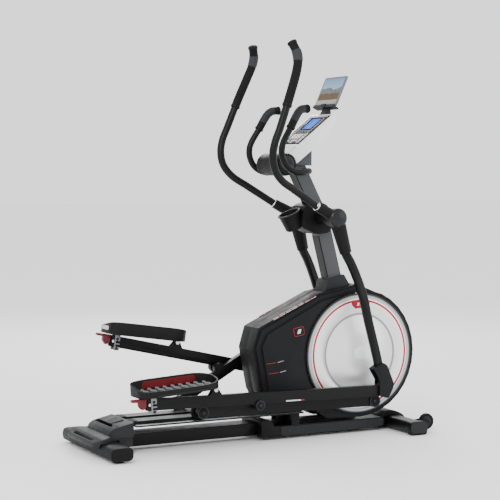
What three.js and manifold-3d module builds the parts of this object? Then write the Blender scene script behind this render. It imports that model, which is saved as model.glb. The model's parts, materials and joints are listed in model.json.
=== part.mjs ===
// Elliptical trainer: a rear-railed stride machine with two swinging handlebars, two pedal arms
// carried by roller links, a crank with silver discs, a belt-driven flywheel and a console.
// Millimetres. +X points forward, +Y to the left, +Z up; the origin is on the floor under the
// centre of the whole machine.
import * as THREE from "three";
import { mergeVertices } from "three/addons/utils/BufferGeometryUtils.js";
import Module from "manifold-3d";

const wasm = await Module();
wasm.setup();

// ---------------------------------------------------------------- driving dimensions
const GAP = 0.4; // between pieces that touch
const RUNNING = 0.4; // radial clearance of a turning shaft
const ROUND = 14; // facets of a plain shaft

const SWING_PIVOT = { x: 320.5, z: 992 };
const CRANK = { x: 498, z: 367, radius: 221, rightAngle: -77.3, axle: 12, pin: 14 };
const LINK = { length: 867.5, inner: 131, width: 28, height: 46, pivotAlong: 253.6, pivotAbove: 24 };
const ROLLER = { radius: 36, width: 26, inner: 103 };
const RAIL = { front: 188, inner: 26, outer: 100, flange: 140, bottom: 118, top: 138, wall: 3, track: 6.5 };
const PEDAL_ARM = {
  span: 635, inner: 177, width: 26, height: 50, rise: 30.5, droop: 4.5, tail: 532, eye: 24,
};
const PEDAL = { length: 382, width: 164, centre: 165, tilt: 4.5, deck: 14, lowRim: 26, highRim: 58 };
const SWING = { lowerRadius: 808, drawnAngle: 16.15, tubeY: 190, tubeWidth: 28, tubeDepth: 38 };
const HUB = { inner: 116, outer: 214, radius: 43, shaft: 13, shaftEnd: 205 };
const HANDLE = { radius: 17, gripRadius: 20 };
const DISC = { radius: 277, inner: 100, thickness: 8 };
const SHROUD = { half: 100, wall: 3, opening: 282, bevel: 34 };
const PULLEY = { radius: 138, y: 42, width: 14 };
const FLYWHEEL = { x: 150, z: 338, radius: 118, half: 14, pulleyRadius: 22, axle: 8 };
const BASE_TUBE = { front: 75, half: 50, bottom: 20, top: 76, wall: 3 };
const REAR_COVER = { tail: -826, front: -628, half: 125, rearTop: 118 };
const BASE = { rear: 76, front: 640, half: 100, bottom: 12, top: 62, wall: 4 };
const REAR_BAR = { x: -748, z: 38, half: 291, depth: 100, height: 56, wall: 3 };
const FRONT_BAR = { x: 705, z: 33, half: 290, depth: 84, height: 52, wall: 3 };
const WHEEL = { x: 788, z: 47, radius: 38, centre: 220, width: 24, axle: 6 };
const MAST = {
  foot: { x: 428, z: 640 },
  knee: { x: 336, z: 1000 },
  top: { x: 213, z: 1236 },
  width: 60,
  half: 37,
  wall: 3,
};
const CUP = { x: 219, z: 978, radius: 50, depth: 78, lean: 24, wall: 4 };
const CONSOLE = { behind: 68, below: 21.3, length: 320, tilt: 38, half: 102, thickness: 60 };
const TABLET = { ahead: 270, above: 230, lean: 24.6, height: 151, half: 98, thickness: 8 };

// ---------------------------------------------------------------- solids
const rad = THREE.MathUtils.degToRad;
const point = (x, y, z) => new THREE.Vector3(x, y, z);
const flat = (x, y) => new THREE.Vector2(x, y);

// The console's underside is set from the mast's top, and the tablet rest from the console's face.
const tiltOf = (degrees) => flat(Math.cos(rad(degrees)), Math.sin(rad(degrees)));
const CONSOLE_SEAT = {
  x: MAST.top.x - CONSOLE.behind - CONSOLE.thickness * tiltOf(CONSOLE.tilt).y,
  z: MAST.top.z - CONSOLE.below + CONSOLE.thickness * tiltOf(CONSOLE.tilt).x,
};
const MAST_ROOM = [-MAST.width / 2 - GAP, MAST.width / 2 + GAP];
const TABLET_SEAT = { x: CONSOLE_SEAT.x + TABLET.ahead, z: CONSOLE_SEAT.z + TABLET.above };

/** A closed geometry as a solid that can be joined and cut. */
function solidOf(geometry) {
  const bare = geometry.index ? geometry.toNonIndexed() : geometry.clone();
  bare.deleteAttribute("normal");
  bare.deleteAttribute("uv");
  const merged = mergeVertices(bare, 1e-4);
  return new wasm.Manifold(
    new wasm.Mesh({
      numProp: 3,
      vertProperties: merged.attributes.position.array,
      triVerts: new Uint32Array(merged.index.array),
    }),
  );
}

/** A solid as a drawable geometry. */
function geometryOf(solid) {
  const mesh = solid.getMesh();
  const geometry = new THREE.BufferGeometry();
  geometry.setAttribute("position", new THREE.BufferAttribute(mesh.vertProperties, 3));
  geometry.setIndex(new THREE.BufferAttribute(mesh.triVerts, 1));
  geometry.computeVertexNormals();
  return geometry;
}

const join = (first, ...others) => others.reduce((sum, other) => sum.add(other), first);
const cut = (first, ...tools) => tools.reduce((rest, tool) => rest.subtract(tool), first);

/** A box between two values on each axis. */
function box([x0, x1], [y0, y1], [z0, z1]) {
  const geometry = new THREE.BoxGeometry(x1 - x0, y1 - y0, z1 - z0);
  return solidOf(geometry.translate((x0 + x1) / 2, (y0 + y1) / 2, (z0 + z1) / 2));
}

/** A closed outline with its corners rounded; a corner is [x, y] or [x, y, radius]. */
function outline(corners, radius = 0) {
  const shape = new THREE.Shape();
  corners.forEach((corner, i) => {
    const here = flat(corner[0], corner[1]);
    const before = corners[(i + corners.length - 1) % corners.length];
    const after = corners[(i + 1) % corners.length];
    const back = flat(before[0], before[1]).sub(here);
    const ahead = flat(after[0], after[1]).sub(here);
    const reach = Math.min(corner[2] ?? radius, back.length() * 0.49, ahead.length() * 0.49);
    const enter = here.clone().add(back.setLength(reach));
    const leave = here.clone().add(ahead.setLength(reach));
    if (i === 0) shape.moveTo(enter.x, enter.y);
    else shape.lineTo(enter.x, enter.y);
    if (reach > 0.01) shape.quadraticCurveTo(here.x, here.y, leave.x, leave.y);
  });
  shape.closePath();
  return shape;
}

/** An outline of [x, z] corners pushed along Y. */
function slabY(shape, y0, y1, curveSegments = 2) {
  const geometry = new THREE.ExtrudeGeometry(shape, { depth: y1 - y0, bevelEnabled: false, curveSegments });
  return solidOf(geometry.rotateX(Math.PI / 2).translate(0, y1, 0));
}

/** An outline of [x, y] corners pushed along Z. */
function slabZ(shape, z0, z1, curveSegments = 2) {
  const geometry = new THREE.ExtrudeGeometry(shape, { depth: z1 - z0, bevelEnabled: false, curveSegments });
  return solidOf(geometry.translate(0, 0, z0));
}

/** A round bar along Y. */
function rodY(x, z, radius, y0, y1, facets = ROUND) {
  const geometry = new THREE.CylinderGeometry(radius, radius, y1 - y0, facets);
  return solidOf(geometry.translate(x, (y0 + y1) / 2, z));
}

/** A shape turned about the Y axis through (x, z), from [radius, y] corners. */
function turnedY(profile, x, z, facets = 32) {
  const geometry = new THREE.LatheGeometry(profile.map(([r, y]) => flat(r, y)), facets);
  return solidOf(geometry.translate(x, 0, z));
}

/** A shape turned about a vertical axis through (x, y), from [radius, z] corners. */
function turnedZ(profile, x, y, facets = 24) {
  const geometry = new THREE.LatheGeometry(profile.map(([r, z]) => flat(r, z)), facets);
  return solidOf(geometry.rotateX(Math.PI / 2).translate(x, y, 0));
}

/** A round bar between two points, tapering from one radius to the other. */
function rodBetween(from, to, radius, endRadius = radius, facets = ROUND) {
  const along = to.clone().sub(from);
  const geometry = new THREE.CylinderGeometry(endRadius, radius, along.length(), facets);
  geometry.applyQuaternion(
    new THREE.Quaternion().setFromUnitVectors(point(0, 1, 0), along.clone().normalize()),
  );
  const middle = from.clone().add(to).multiplyScalar(0.5);
  return solidOf(geometry.translate(middle.x, middle.y, middle.z));
}

/** A closed ring of points as a shape. */
const ring = (radius, facets) =>
  new THREE.Shape(
    Array.from({ length: facets }, (_, i) => {
      const a = (2 * Math.PI * i) / facets;
      return flat(radius * Math.cos(a), radius * Math.sin(a));
    }),
  );

/** A bar of constant section swept along a smooth curve through the points. */
function sweep(shape, points, steps) {
  const extrudePath = new THREE.CatmullRomCurve3(points, false, "centripetal");
  const settings = { steps, extrudePath, bevelEnabled: false, curveSegments: 2 };
  return solidOf(new THREE.ExtrudeGeometry(shape, settings));
}

/** Turns a solid about an axis along Y through (x, z), counter-clockwise with X right and Z up. */
function turn(solid, degrees, x = 0, z = 0) {
  return solid.translate([-x, 0, -z]).rotate([0, -degrees, 0]).translate([x, 0, z]);
}

/** A straight hollow bar along Y with a rounded, flattened section. */
function ovalBarY(bar, half, inset = 0) {
  const w = bar.depth / 2 - inset;
  const h = bar.height / 2 - inset;
  const corners = [[-w, -h], [w, -h], [w, h], [-w, h]].map(([x, z]) => [bar.x + x, bar.z + z]);
  return slabY(outline(corners, Math.min(w, h) * 0.8), -half, half, 3);
}

// ---------------------------------------------------------------- linkage
const ROLLER_Z = RAIL.bottom + RAIL.track + ROLLER.radius + GAP;

/** Where the link, pedal arm and swing arm of one side stand for a crank angle in degrees. */
function solveSide(crankAngle) {
  const a = rad(crankAngle);
  const pin = flat(CRANK.x + CRANK.radius * Math.cos(a), CRANK.z + CRANK.radius * Math.sin(a));
  const roller = flat(pin.x - Math.sqrt(LINK.length ** 2 - (pin.y - ROLLER_Z) ** 2), ROLLER_Z);
  const linkAngle = pin.clone().sub(roller).angle();
  const pivot = flat(LINK.pivotAlong, LINK.pivotAbove).rotateAround(flat(0, 0), linkAngle).add(roller);
  const toPivot = pivot.clone().sub(flat(SWING_PIVOT.x, SWING_PIVOT.z));
  const reach = toPivot.length();
  const squares = SWING.lowerRadius ** 2 + reach ** 2 - PEDAL_ARM.span ** 2;
  const cosine = squares / (2 * SWING.lowerRadius * reach);
  const swingDirection = toPivot.angle() + Math.acos(cosine);
  const front = flat(SWING.lowerRadius, 0).rotateAround(flat(0, 0), swingDirection);
  front.add(flat(SWING_PIVOT.x, SWING_PIVOT.z));
  return {
    pin,
    roller,
    pivot,
    front,
    linkAngle,
    armAngle: front.clone().sub(pivot).angle(),
    swingAngle: swingDirection - 1.5 * Math.PI - rad(SWING.drawnAngle),
  };
}

const SIDES = [
  { name: "right", sign: -1, pose: solveSide(CRANK.rightAngle) },
  { name: "left", sign: 1, pose: solveSide(CRANK.rightAngle + 180) },
];

// ---------------------------------------------------------------- finishes and pieces
const finish = (color, roughness, metalness = 0) =>
  new THREE.MeshStandardMaterial({ color, roughness, metalness });
const FINISH = {
  blackPaint: () => finish(0x17181a, 0.42, 0.3),
  blackPlastic: () => finish(0x1d1e20, 0.55),
  charcoalPlastic: () => finish(0x37393b, 0.6),
  greyPaint: () => finish(0x6b6d70, 0.5, 0.2),
  whitePlastic: () => finish(0xf1f2f3, 0.35),
  silver: () => finish(0xd7d9dc, 0.35, 0.6),
  steel: () => finish(0x9b9ea2, 0.3, 0.9),
  chrome: () => finish(0xd9dbdd, 0.12, 1),
  rubber: () => finish(0x1b1b1c, 0.85),
  redPlastic: () => finish(0x8f1016, 0.5),
  screen: () => finish(0x2f6fd0, 0.15),
};

const machine = new THREE.Group();
machine.name = "elliptical_trainer";

/** Adds a named mesh of a solid to a group. */
function piece(name, solid, material, parent = machine) {
  const mesh = new THREE.Mesh(geometryOf(solid), material);
  mesh.name = name;
  parent.add(mesh);
  return mesh;
}

/** A child group at a place in the side view, turned by an angle in radians. */
function placed(parent, x, z, angle = 0) {
  const group = new THREE.Group();
  group.position.set(x, 0, z);
  group.rotation.y = -angle;
  parent.add(group);
  return group;
}

/** A group for the pieces of one side, drawn on the left and mirrored for the right. */
function mirroredHalf(side, parent = machine) {
  const half = new THREE.Group();
  half.scale.y = side.sign;
  parent.add(half);
  return half;
}

// ---------------------------------------------------------------- base
const BASE_TUBE_REAR = REAR_BAR.x + REAR_BAR.depth / 2 + GAP;
const RAIL_TONGUE = 5; // thickness of the rail's end inside the rear cover

function buildRearEnd() {
  const tube = cut(
    box(
      [BASE_TUBE_REAR, BASE_TUBE.front],
      [-BASE_TUBE.half, BASE_TUBE.half],
      [BASE_TUBE.bottom, BASE_TUBE.top],
    ),
    box(
      [BASE_TUBE_REAR - 1, BASE_TUBE.front + 1],
      [-BASE_TUBE.half + BASE_TUBE.wall, BASE_TUBE.half - BASE_TUBE.wall],
      [BASE_TUBE.bottom + BASE_TUBE.wall, BASE_TUBE.top - BASE_TUBE.wall],
    ),
  );
  piece("rear_base_tube", tube, FINISH.blackPaint());

  const footY = REAR_BAR.half - 45;
  const bar = cut(
    ovalBarY(REAR_BAR, REAR_BAR.half),
    ovalBarY(REAR_BAR, REAR_BAR.half - 12, REAR_BAR.wall),
    ...[-1, 1].map((s) =>
      turnedZ([[0, 0], [6 + RUNNING, 0], [6 + RUNNING, 30], [0, 30]], REAR_BAR.x, s * footY, 12),
    ),
  );
  piece("rear_stabilizer", bar, FINISH.charcoalPlastic());
  for (const side of SIDES) {
    const foot = turnedZ(
      [[0, 0], [20, 0], [22, 3], [18, 9.4], [6, 9.4], [6, 28], [0, 28]],
      REAR_BAR.x,
      side.sign * footY,
      16,
    );
    piece(side.name + "_levelling_foot", foot, FINISH.rubber());
  }
}

/** Cover over the rear joint: a sloping rail end, a low plate and a grab bar with a slot. */
function buildRearCover() {
  const { tail, front, half, rearTop } = REAR_COVER;
  const low = REAR_BAR.z + REAR_BAR.height / 2 + GAP;
  const plan = outline([
    [tail, -150, 30], [tail + 26, -176, 30], [tail + 54, -176, 20], [tail + 112, -118, 20], [front, -112, 8],
    [front, 112, 8], [tail + 112, 118, 20], [tail + 54, 176, 20], [tail + 26, 176, 30], [tail, 150, 30],
  ]);
  const profile = outline([
    [tail, low - 18, 6], [tail + 22, low - 18], [tail + 28, low], [front, low], [front, low + 26],
    [tail + 90, low + 24, 20], [tail + 40, low + 20, 10], [tail, low + 2, 6],
  ]);
  const plate = slabZ(plan, low - 20, low + 40).intersect(slabY(profile, -200, 200));
  const slot = slabZ(
    outline([[tail + 11, -112], [tail + 27, -112], [tail + 27, 112], [tail + 11, 112]], 7),
    0,
    200,
  );
  const railBox = slabY(
    outline([
      [tail + 84, low + 10], [front, low + 10], [front, RAIL.top],
      [tail + 106, rearTop, 14], [tail + 84, rearTop - 16, 12],
    ]),
    -half,
    half,
  );
  const skirts = [-1, 1].map((s) => {
    const span = [s * (BASE_TUBE.half + GAP), s * 112].sort((a, b) => a - b);
    return box([BASE_TUBE_REAR + 8, front], span, [34, low + 6]);
  });
  const roomTop = RAIL.bottom + RAIL_TONGUE + GAP;
  const room = box([tail + 112, front + 1], [6 - half, half - 6], [low + 24, roomTop]);
  const tubeRoom = box(
    [BASE_TUBE_REAR - GAP, front + 1],
    [-BASE_TUBE.half - GAP, BASE_TUBE.half + GAP],
    [0, BASE_TUBE.top + GAP],
  );
  const cover = cut(join(plate, railBox, ...skirts), slot, room, tubeRoom);
  piece("rear_cover", cover, FINISH.charcoalPlastic());
}

/** Two hollow rails with a flat track along their outer side for the rollers. */
function buildRails() {
  const start = REAR_COVER.front + GAP;
  const { inner, outer, bottom, top, wall, front } = RAIL;
  for (const side of SIDES) {
    const half = mirroredHalf(side);
    const tube = cut(
      box([start, front], [inner, outer], [bottom, top]),
      box([start - 1, front + 1], [inner + wall, outer - wall], [bottom + wall, top - wall]),
    );
    const tongue = box([start - 60, start + 1], [inner, outer], [bottom, bottom + RAIL_TONGUE]);
    const track = box([start + 6, front], [outer - 1, RAIL.flange], [bottom, bottom + RAIL.track]);
    piece(side.name + "_rail", join(tube, tongue, track), FINISH.blackPaint(), half);
  }
}

function buildFrontEnd() {
  const shell = slabY(
    outline([
      [-4, 14], [-4, 92, 8], [44, 92, 8], [60, BASE.top],
      [BASE.front - 20, BASE.top], [BASE.front, 50, 10], [BASE.front, 16, 6],
    ]),
    -BASE.half,
    BASE.half,
  );
  const inside = box(
    [BASE.rear, BASE.front - 6],
    [-BASE.half + BASE.wall, BASE.half - BASE.wall],
    [0, BASE.top - BASE.wall],
  );
  const tubeRoom = box(
    [-10, BASE.rear + 1],
    [-BASE_TUBE.half - GAP, BASE_TUBE.half + GAP],
    [0, BASE_TUBE.top + GAP],
  );
  const holes = [105, 568].map((x) => rodY(x, 36, 5, -BASE.half - 1, BASE.half + 1, 12));
  const railSeat = box(
    [RAIL.front - 40, RAIL.front],
    [-BASE.half, BASE.half],
    [BASE.top - 2, RAIL.bottom - GAP],
  );
  const neck = slabY(
    outline([
      [BASE.front - 8, 14], [BASE.front - 8, 60], [676, 84, 14], [724, 80, 22], [772, 56, 22],
      [786, 26, 8], [776, 5, 4], [660, 5, 4],
    ]),
    -58,
    58,
  );
  const barRoom = ovalBarY(FRONT_BAR, 100, -GAP);
  const base = cut(join(cut(shell, inside, tubeRoom), railSeat, neck), ...holes, barRoom);
  piece("main_base", base, FINISH.blackPaint());

  const ends = [-1, 1].map((s) => {
    const y0 = s > 0 ? FRONT_BAR.half - 34 : -FRONT_BAR.half;
    return slabY(
      outline(
        [[-45, -33], [45, -33], [45, 29], [-45, 29]].map(([x, z]) => [FRONT_BAR.x + x, FRONT_BAR.z + z]),
        16,
      ),
      y0,
      y0 + 34,
    );
  });
  const lugs = [-1, 1].flatMap((s) =>
    [-1, 1].map((face) => {
      const middle = s * WHEEL.centre + face * (WHEEL.width / 2 + 4);
      return slabY(
        outline([
          [FRONT_BAR.x, 20], [FRONT_BAR.x + 20, 12], [WHEEL.x + 4, 34, 12], [WHEEL.x + 12, 50, 12],
          [WHEEL.x - 8, 62, 12], [FRONT_BAR.x + 20, 56], [FRONT_BAR.x, 50],
        ]),
        middle - 2.5,
        middle + 2.5,
      );
    }),
  );
  const pins = [-1, 1].map((s) =>
    rodY(WHEEL.x, WHEEL.z, WHEEL.axle, s * WHEEL.centre - 17, s * WHEEL.centre + 17, 12),
  );
  const barHollow = ovalBarY(FRONT_BAR, FRONT_BAR.half - 20, FRONT_BAR.wall);
  const bar = cut(ovalBarY(FRONT_BAR, FRONT_BAR.half - 2), barHollow);
  const vent = turnedZ([[0, 0], [4, 0], [4, 20], [0, 20]], FRONT_BAR.x, 0, 8);
  piece("front_stabilizer", cut(join(bar, ...ends, ...lugs, ...pins), vent), FINISH.blackPaint());

  for (const side of SIDES) {
    const half = WHEEL.width / 2;
    const bore = WHEEL.axle + RUNNING;
    const wheel = turnedY(
      [
        [bore, -half], [WHEEL.radius - 10, -half + 4], [WHEEL.radius - 3, -half + 2], [WHEEL.radius, 0],
        [WHEEL.radius - 3, half - 2], [WHEEL.radius - 10, half - 4], [bore, half], [bore, -half],
      ],
      WHEEL.x,
      WHEEL.z,
      16,
    );
    piece(side.name + "_transport_wheel", wheel.translate([0, side.sign * WHEEL.centre, 0]), FINISH.rubber());
  }
}

// ---------------------------------------------------------------- main frame and mast
/** Middle of the mast at a height: it leans back, and more so above its knee. */
function mastAt(z) {
  const [low, high] = z < MAST.knee.z ? [MAST.foot, MAST.knee] : [MAST.knee, MAST.top];
  return low.x + ((z - low.z) * (high.x - low.x)) / (high.z - low.z);
}

/** Side outline of the mast between two heights. */
function mastOutline(z0, z1, half) {
  const levels = z0 < MAST.knee.z && z1 > MAST.knee.z ? [z0, MAST.knee.z, z1] : [z0, z1];
  const rear = levels.map((z) => [mastAt(z) - half, z]);
  const front = levels.map((z) => [mastAt(z) + half, z]).reverse();
  return outline([...rear, ...front]);
}

function buildMainFrame() {
  const post = { half: MAST.half - 6, width: MAST.width / 2 - 6, wall: 4 };
  const floorZ = BASE.top + GAP;
  const postOutline = (inset, z0) => {
    const w = post.half - inset;
    return outline([
      [CRANK.x - w, z0], [CRANK.x + w, z0], [CRANK.x + w, CRANK.z + 10], [MAST.foot.x + w, MAST.foot.z],
      [MAST.foot.x - w, MAST.foot.z], [CRANK.x - w, CRANK.z + 10],
    ]);
  };
  const tube = cut(
    slabY(postOutline(0, floorZ), -post.width, post.width),
    slabY(postOutline(post.wall, floorZ - 1), post.wall - post.width, post.width - post.wall)
      .translate([0, 0, -post.wall]),
  );
  const shell = rodY(CRANK.x, CRANK.z, 34, -post.width - 8, post.width + 8, 24);
  const crankBore = rodY(CRANK.x, CRANK.z, CRANK.axle + RUNNING, -post.width - 9, post.width + 9);
  const plates = [-1, 1].map((s) => {
    const span = [s * (FLYWHEEL.half + 6), s * (FLYWHEEL.half + 10)].sort((a, b) => a - b);
    return slabY(
      outline([
        [FLYWHEEL.x - 40, floorZ], [FLYWHEEL.x + 60, floorZ],
        [FLYWHEEL.x + 22, FLYWHEEL.z + 18, 16], [FLYWHEEL.x - 22, FLYWHEEL.z + 18, 16],
      ]),
      ...span,
    );
  });
  const sillHalf = FLYWHEEL.half + 10;
  const sill = box([FLYWHEEL.x - 40, CRANK.x], [-sillHalf, sillHalf], [floorZ, floorZ + 12]);
  const axleBore = rodY(FLYWHEEL.x, FLYWHEEL.z, FLYWHEEL.axle + RUNNING, -40, 40);
  const seatRoom = box([RAIL.front - 41, RAIL.front + GAP], [-BASE.half, BASE.half], [0, RAIL.bottom]);
  const railRoom = box([0, RAIL.front + GAP], [RAIL.inner - GAP, RAIL.outer], [0, RAIL.top + GAP]);
  const frame = cut(join(tube, shell, ...plates, sill), crankBore, axleBore, seatRoom, railRoom);
  piece("main_frame", largestBody(frame), FINISH.blackPaint());

  const halfWidth = MAST.width / 2;
  const outer = slabY(mastOutline(MAST.foot.z + GAP, MAST.top.z, MAST.half), -halfWidth, halfWidth);
  const inner = slabY(
    mastOutline(MAST.foot.z - 4, MAST.top.z - 20, MAST.half - MAST.wall),
    -halfWidth + MAST.wall,
    halfWidth - MAST.wall,
  );
  const crossTube = rodY(SWING_PIVOT.x, SWING_PIVOT.z, 30, -HUB.inner + 16, HUB.inner - 16, 20);
  const shaft = rodY(SWING_PIVOT.x, SWING_PIVOT.z, HUB.shaft, -HUB.shaftEnd, HUB.shaftEnd);
  piece("mast", join(cut(outer, inner), crossTube, shaft), FINISH.greyPaint());

  const skirt = outline([[340, 622], [492, 660], [450, 728, 4], [362, 706, 4]]);
  const mastRoom = slabY(mastOutline(600, 760, MAST.half + GAP), -halfWidth - GAP, halfWidth + GAP);
  piece("mast_boot", cut(slabY(skirt, -48, 48), mastRoom), FINISH.charcoalPlastic());
}

// ---------------------------------------------------------------- shroud
/** Side outline of the housing, drawn in by a margin along its rear and top. */
function shroudOutline(margin, wall = 0) {
  const m = margin + wall;
  const arc = [];
  const radius = DISC.radius + 18 - wall;
  for (let angle = 66; angle >= -100; angle -= 11) {
    arc.push([CRANK.x + radius * Math.cos(rad(angle)), CRANK.z + radius * Math.sin(rad(angle))]);
  }
  return new THREE.Shape(
    [
      [-34 + m, 410 + m * 0.2], [-6 + m, 503 - m * 0.8], [305, 648 - m], [505, 683 - m * 0.9],
      ...arc,
      [330, 78 + wall], [214, 158 + wall], [30 + wall, 170 + wall], [2 + m, 222],
    ].map(([x, z]) => flat(x, z)),
  );
}

function buildShroud() {
  const flank = SHROUD.half - 30;
  for (const side of SIDES) {
    const half = mirroredHalf(side);
    const y0 = GAP / 2;
    const outer = join(
      slabY(shroudOutline(0), y0, flank),
      slabY(shroudOutline(12), y0, flank + 16),
      slabY(shroudOutline(SHROUD.bevel), y0, SHROUD.half),
    );
    const inner = join(
      slabY(shroudOutline(0, SHROUD.wall), y0 - 1, flank - SHROUD.wall),
      slabY(shroudOutline(12, SHROUD.wall), y0 - 1, flank + 16 - SHROUD.wall),
      slabY(shroudOutline(SHROUD.bevel, SHROUD.wall), y0 - 1, SHROUD.half - SHROUD.wall),
    );
    const discHole = rodY(CRANK.x, CRANK.z, SHROUD.opening, SHROUD.half - 14, SHROUD.half + 1, 40);
    const mastHole = slabY(mastOutline(560, 760, MAST.half + 2), -1, MAST.width / 2 + 2);
    const bootSeat = slabY(outline([[336, 616], [497, 656], [470, 760], [340, 760]]), -1, 48 + GAP);
    const postHole = box([CRANK.x - MAST.half, CRANK.x + MAST.half], [-1, MAST.width / 2 - 4], [60, 130]);
    const sillHole = box([FLYWHEEL.x - 60, CRANK.x], [-1, FLYWHEEL.half + 12], [60, 175]);
    const railHole = box([-60, RAIL.front + 4], [0, SHROUD.half + 1], [0, RAIL.top + 2]);
    const shell = cut(outer, inner, discHole, mastHole, bootSeat, postHole, sillHole, railHole);
    piece(side.name + "_shroud", shell, FINISH.charcoalPlastic(), half);
  }
}

// ---------------------------------------------------------------- drive
function buildDrive() {
  const crank = placed(machine, CRANK.x, CRANK.z);
  piece("crank_axle", rodY(0, 0, CRANK.axle, -98, 98), FINISH.steel(), crank);
  const pulleyInner = PULLEY.y;
  const pulleyOuter = PULLEY.y + PULLEY.width;
  const pulley = turnedY(
    [
      [CRANK.axle + GAP, pulleyInner], [PULLEY.radius, pulleyInner], [PULLEY.radius, pulleyOuter],
      [PULLEY.radius - 10, pulleyOuter], [PULLEY.radius - 14, pulleyOuter - 5], [30, pulleyOuter - 5],
      [26, pulleyOuter], [CRANK.axle + GAP, pulleyOuter], [CRANK.axle + GAP, pulleyInner],
    ],
    0,
    0,
    32,
  );
  piece("crank_pulley", pulley, FINISH.blackPlastic(), crank);

  for (const side of SIDES) {
    const half = new THREE.Group();
    half.scale.y = side.sign;
    half.rotation.y = -rad(CRANK.rightAngle + (side.sign > 0 ? 180 : 0));
    crank.add(half);
    const arm = join(
      rodY(0, 0, 26, 78, 96),
      rodY(CRANK.radius, 0, 20, 80, 96),
      slabY(outline([[0, -22], [CRANK.radius, -15], [CRANK.radius, 15], [0, 22]]), 80, 96),
      rodY(CRANK.radius, 0, CRANK.pin, 90, LINK.inner - 1),
    );
    piece(side.name + "_crank_arm", cut(arm, rodY(0, 0, CRANK.axle + GAP, 70, 98.5)), FINISH.steel(), half);
    const face = DISC.inner + DISC.thickness;
    const disc = cut(
      turnedY(
        [
          [0, DISC.inner], [DISC.radius, DISC.inner], [DISC.radius, face - 2], [DISC.radius - 5, face],
          [184, face], [181, face - 1.5], [176, face - 1.5], [173, face], [0, face],
        ],
        0,
        0,
        36,
      ),
      rodY(CRANK.radius, 0, CRANK.pin + GAP, 90, 120),
      rodY(0, 0, CRANK.axle + GAP, 90, DISC.inner + 2),
    );
    piece(side.name + "_crank_disc", disc, FINISH.silver(), half);
  }

  const wheel = placed(machine, FLYWHEEL.x, FLYWHEEL.z);
  const h = FLYWHEEL.half;
  const flywheel = join(
    turnedY(
      [
        [0, -h + 4], [30, -h + 4], [84, -h + 7], [90, -h], [FLYWHEEL.radius, -h], [FLYWHEEL.radius, h],
        [90, h], [84, h - 7], [30, h - 4], [0, h - 4],
      ],
      0,
      0,
      22,
    ),
    rodY(0, 0, FLYWHEEL.axle, -34, 60),
    rodY(0, 0, FLYWHEEL.pulleyRadius, PULLEY.y, 58),
  );
  piece("flywheel", flywheel, FINISH.steel(), wheel);

  // The belt runs round both pulleys with its straight runs tangent to them.
  const span = Math.hypot(CRANK.x - FLYWHEEL.x, CRANK.z - FLYWHEEL.z);
  const tilt = Math.atan2(CRANK.z - FLYWHEEL.z, CRANK.x - FLYWHEEL.x);
  const beltShape = (grow) => {
    const wrap = Math.acos((PULLEY.radius - FLYWHEEL.pulleyRadius) / span);
    const shape = new THREE.Shape();
    shape.absarc(span, 0, PULLEY.radius + grow, -(Math.PI - wrap), Math.PI - wrap, false);
    shape.absarc(0, 0, FLYWHEEL.pulleyRadius + grow, Math.PI - wrap, Math.PI + wrap, false);
    shape.closePath();
    return shape;
  };
  const belt = placed(machine, FLYWHEEL.x, FLYWHEEL.z, tilt);
  const loop = cut(
    slabY(beltShape(5.4), PULLEY.y + 1, PULLEY.y + PULLEY.width - 1, 12),
    slabY(beltShape(1.9), PULLEY.y, PULLEY.y + PULLEY.width, 12),
  );
  piece("drive_belt", loop, FINISH.rubber(), belt);

  const magnet = placed(machine, FLYWHEEL.x, FLYWHEEL.z);
  const reach = FLYWHEEL.radius + 4;
  const sector = new THREE.Shape();
  sector.absarc(0, 0, reach + 12, rad(100), rad(160), false);
  sector.absarc(0, 0, reach, rad(160), rad(100), true);
  sector.closePath();
  const yoke = join(
    slabY(sector, -h, h, 10),
    rodY((reach + 7) * Math.cos(rad(98)), (reach + 7) * Math.sin(rad(98)), 7, -h, h, 12),
  );
  piece("brake_magnet", yoke, FINISH.steel(), magnet);
}

// ---------------------------------------------------------------- stride assemblies
function buildLink(group, name) {
  const outer = LINK.inner + LINK.width;
  const h = LINK.height / 2;
  const link = join(
    box([0, LINK.length], [LINK.inner, outer], [-h, h]),
    rodY(0, 0, 27, LINK.inner, outer + 5, 18),
    rodY(LINK.length, 0, 29, LINK.inner, outer + 5, 18),
    rodY(LINK.pivotAlong, LINK.pivotAbove, 24, LINK.inner, outer, 18),
    rodY(LINK.pivotAlong, LINK.pivotAbove, 10, outer - 1, PEDAL_ARM.inner + PEDAL_ARM.width + 1),
    rodY(
      LINK.pivotAlong,
      LINK.pivotAbove,
      22,
      PEDAL_ARM.inner + PEDAL_ARM.width + GAP,
      PEDAL_ARM.inner + PEDAL_ARM.width + 7,
      18,
    ),
    rodY(0, 0, 8, ROLLER.inner - 2, LINK.inner + 1),
    rodY(0, 0, 12, ROLLER.inner + ROLLER.width + GAP, LINK.inner + 1),
  );
  piece(name + "_link", link, FINISH.blackPaint(), group);

  const y0 = ROLLER.inner;
  const y1 = ROLLER.inner + ROLLER.width;
  const bore = 8 + RUNNING;
  const roller = turnedY(
    [
      [bore, y0], [20, y0], [22, y0 + 4], [ROLLER.radius - 3, y0 + 4], [ROLLER.radius, y0 + 7],
      [ROLLER.radius, y1 - 7], [ROLLER.radius - 3, y1 - 4], [22, y1 - 4], [20, y1], [bore, y1], [bore, y0],
    ],
    0,
    0,
    20,
  );
  piece(name + "_roller", roller, FINISH.rubber(), group);
}

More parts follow.
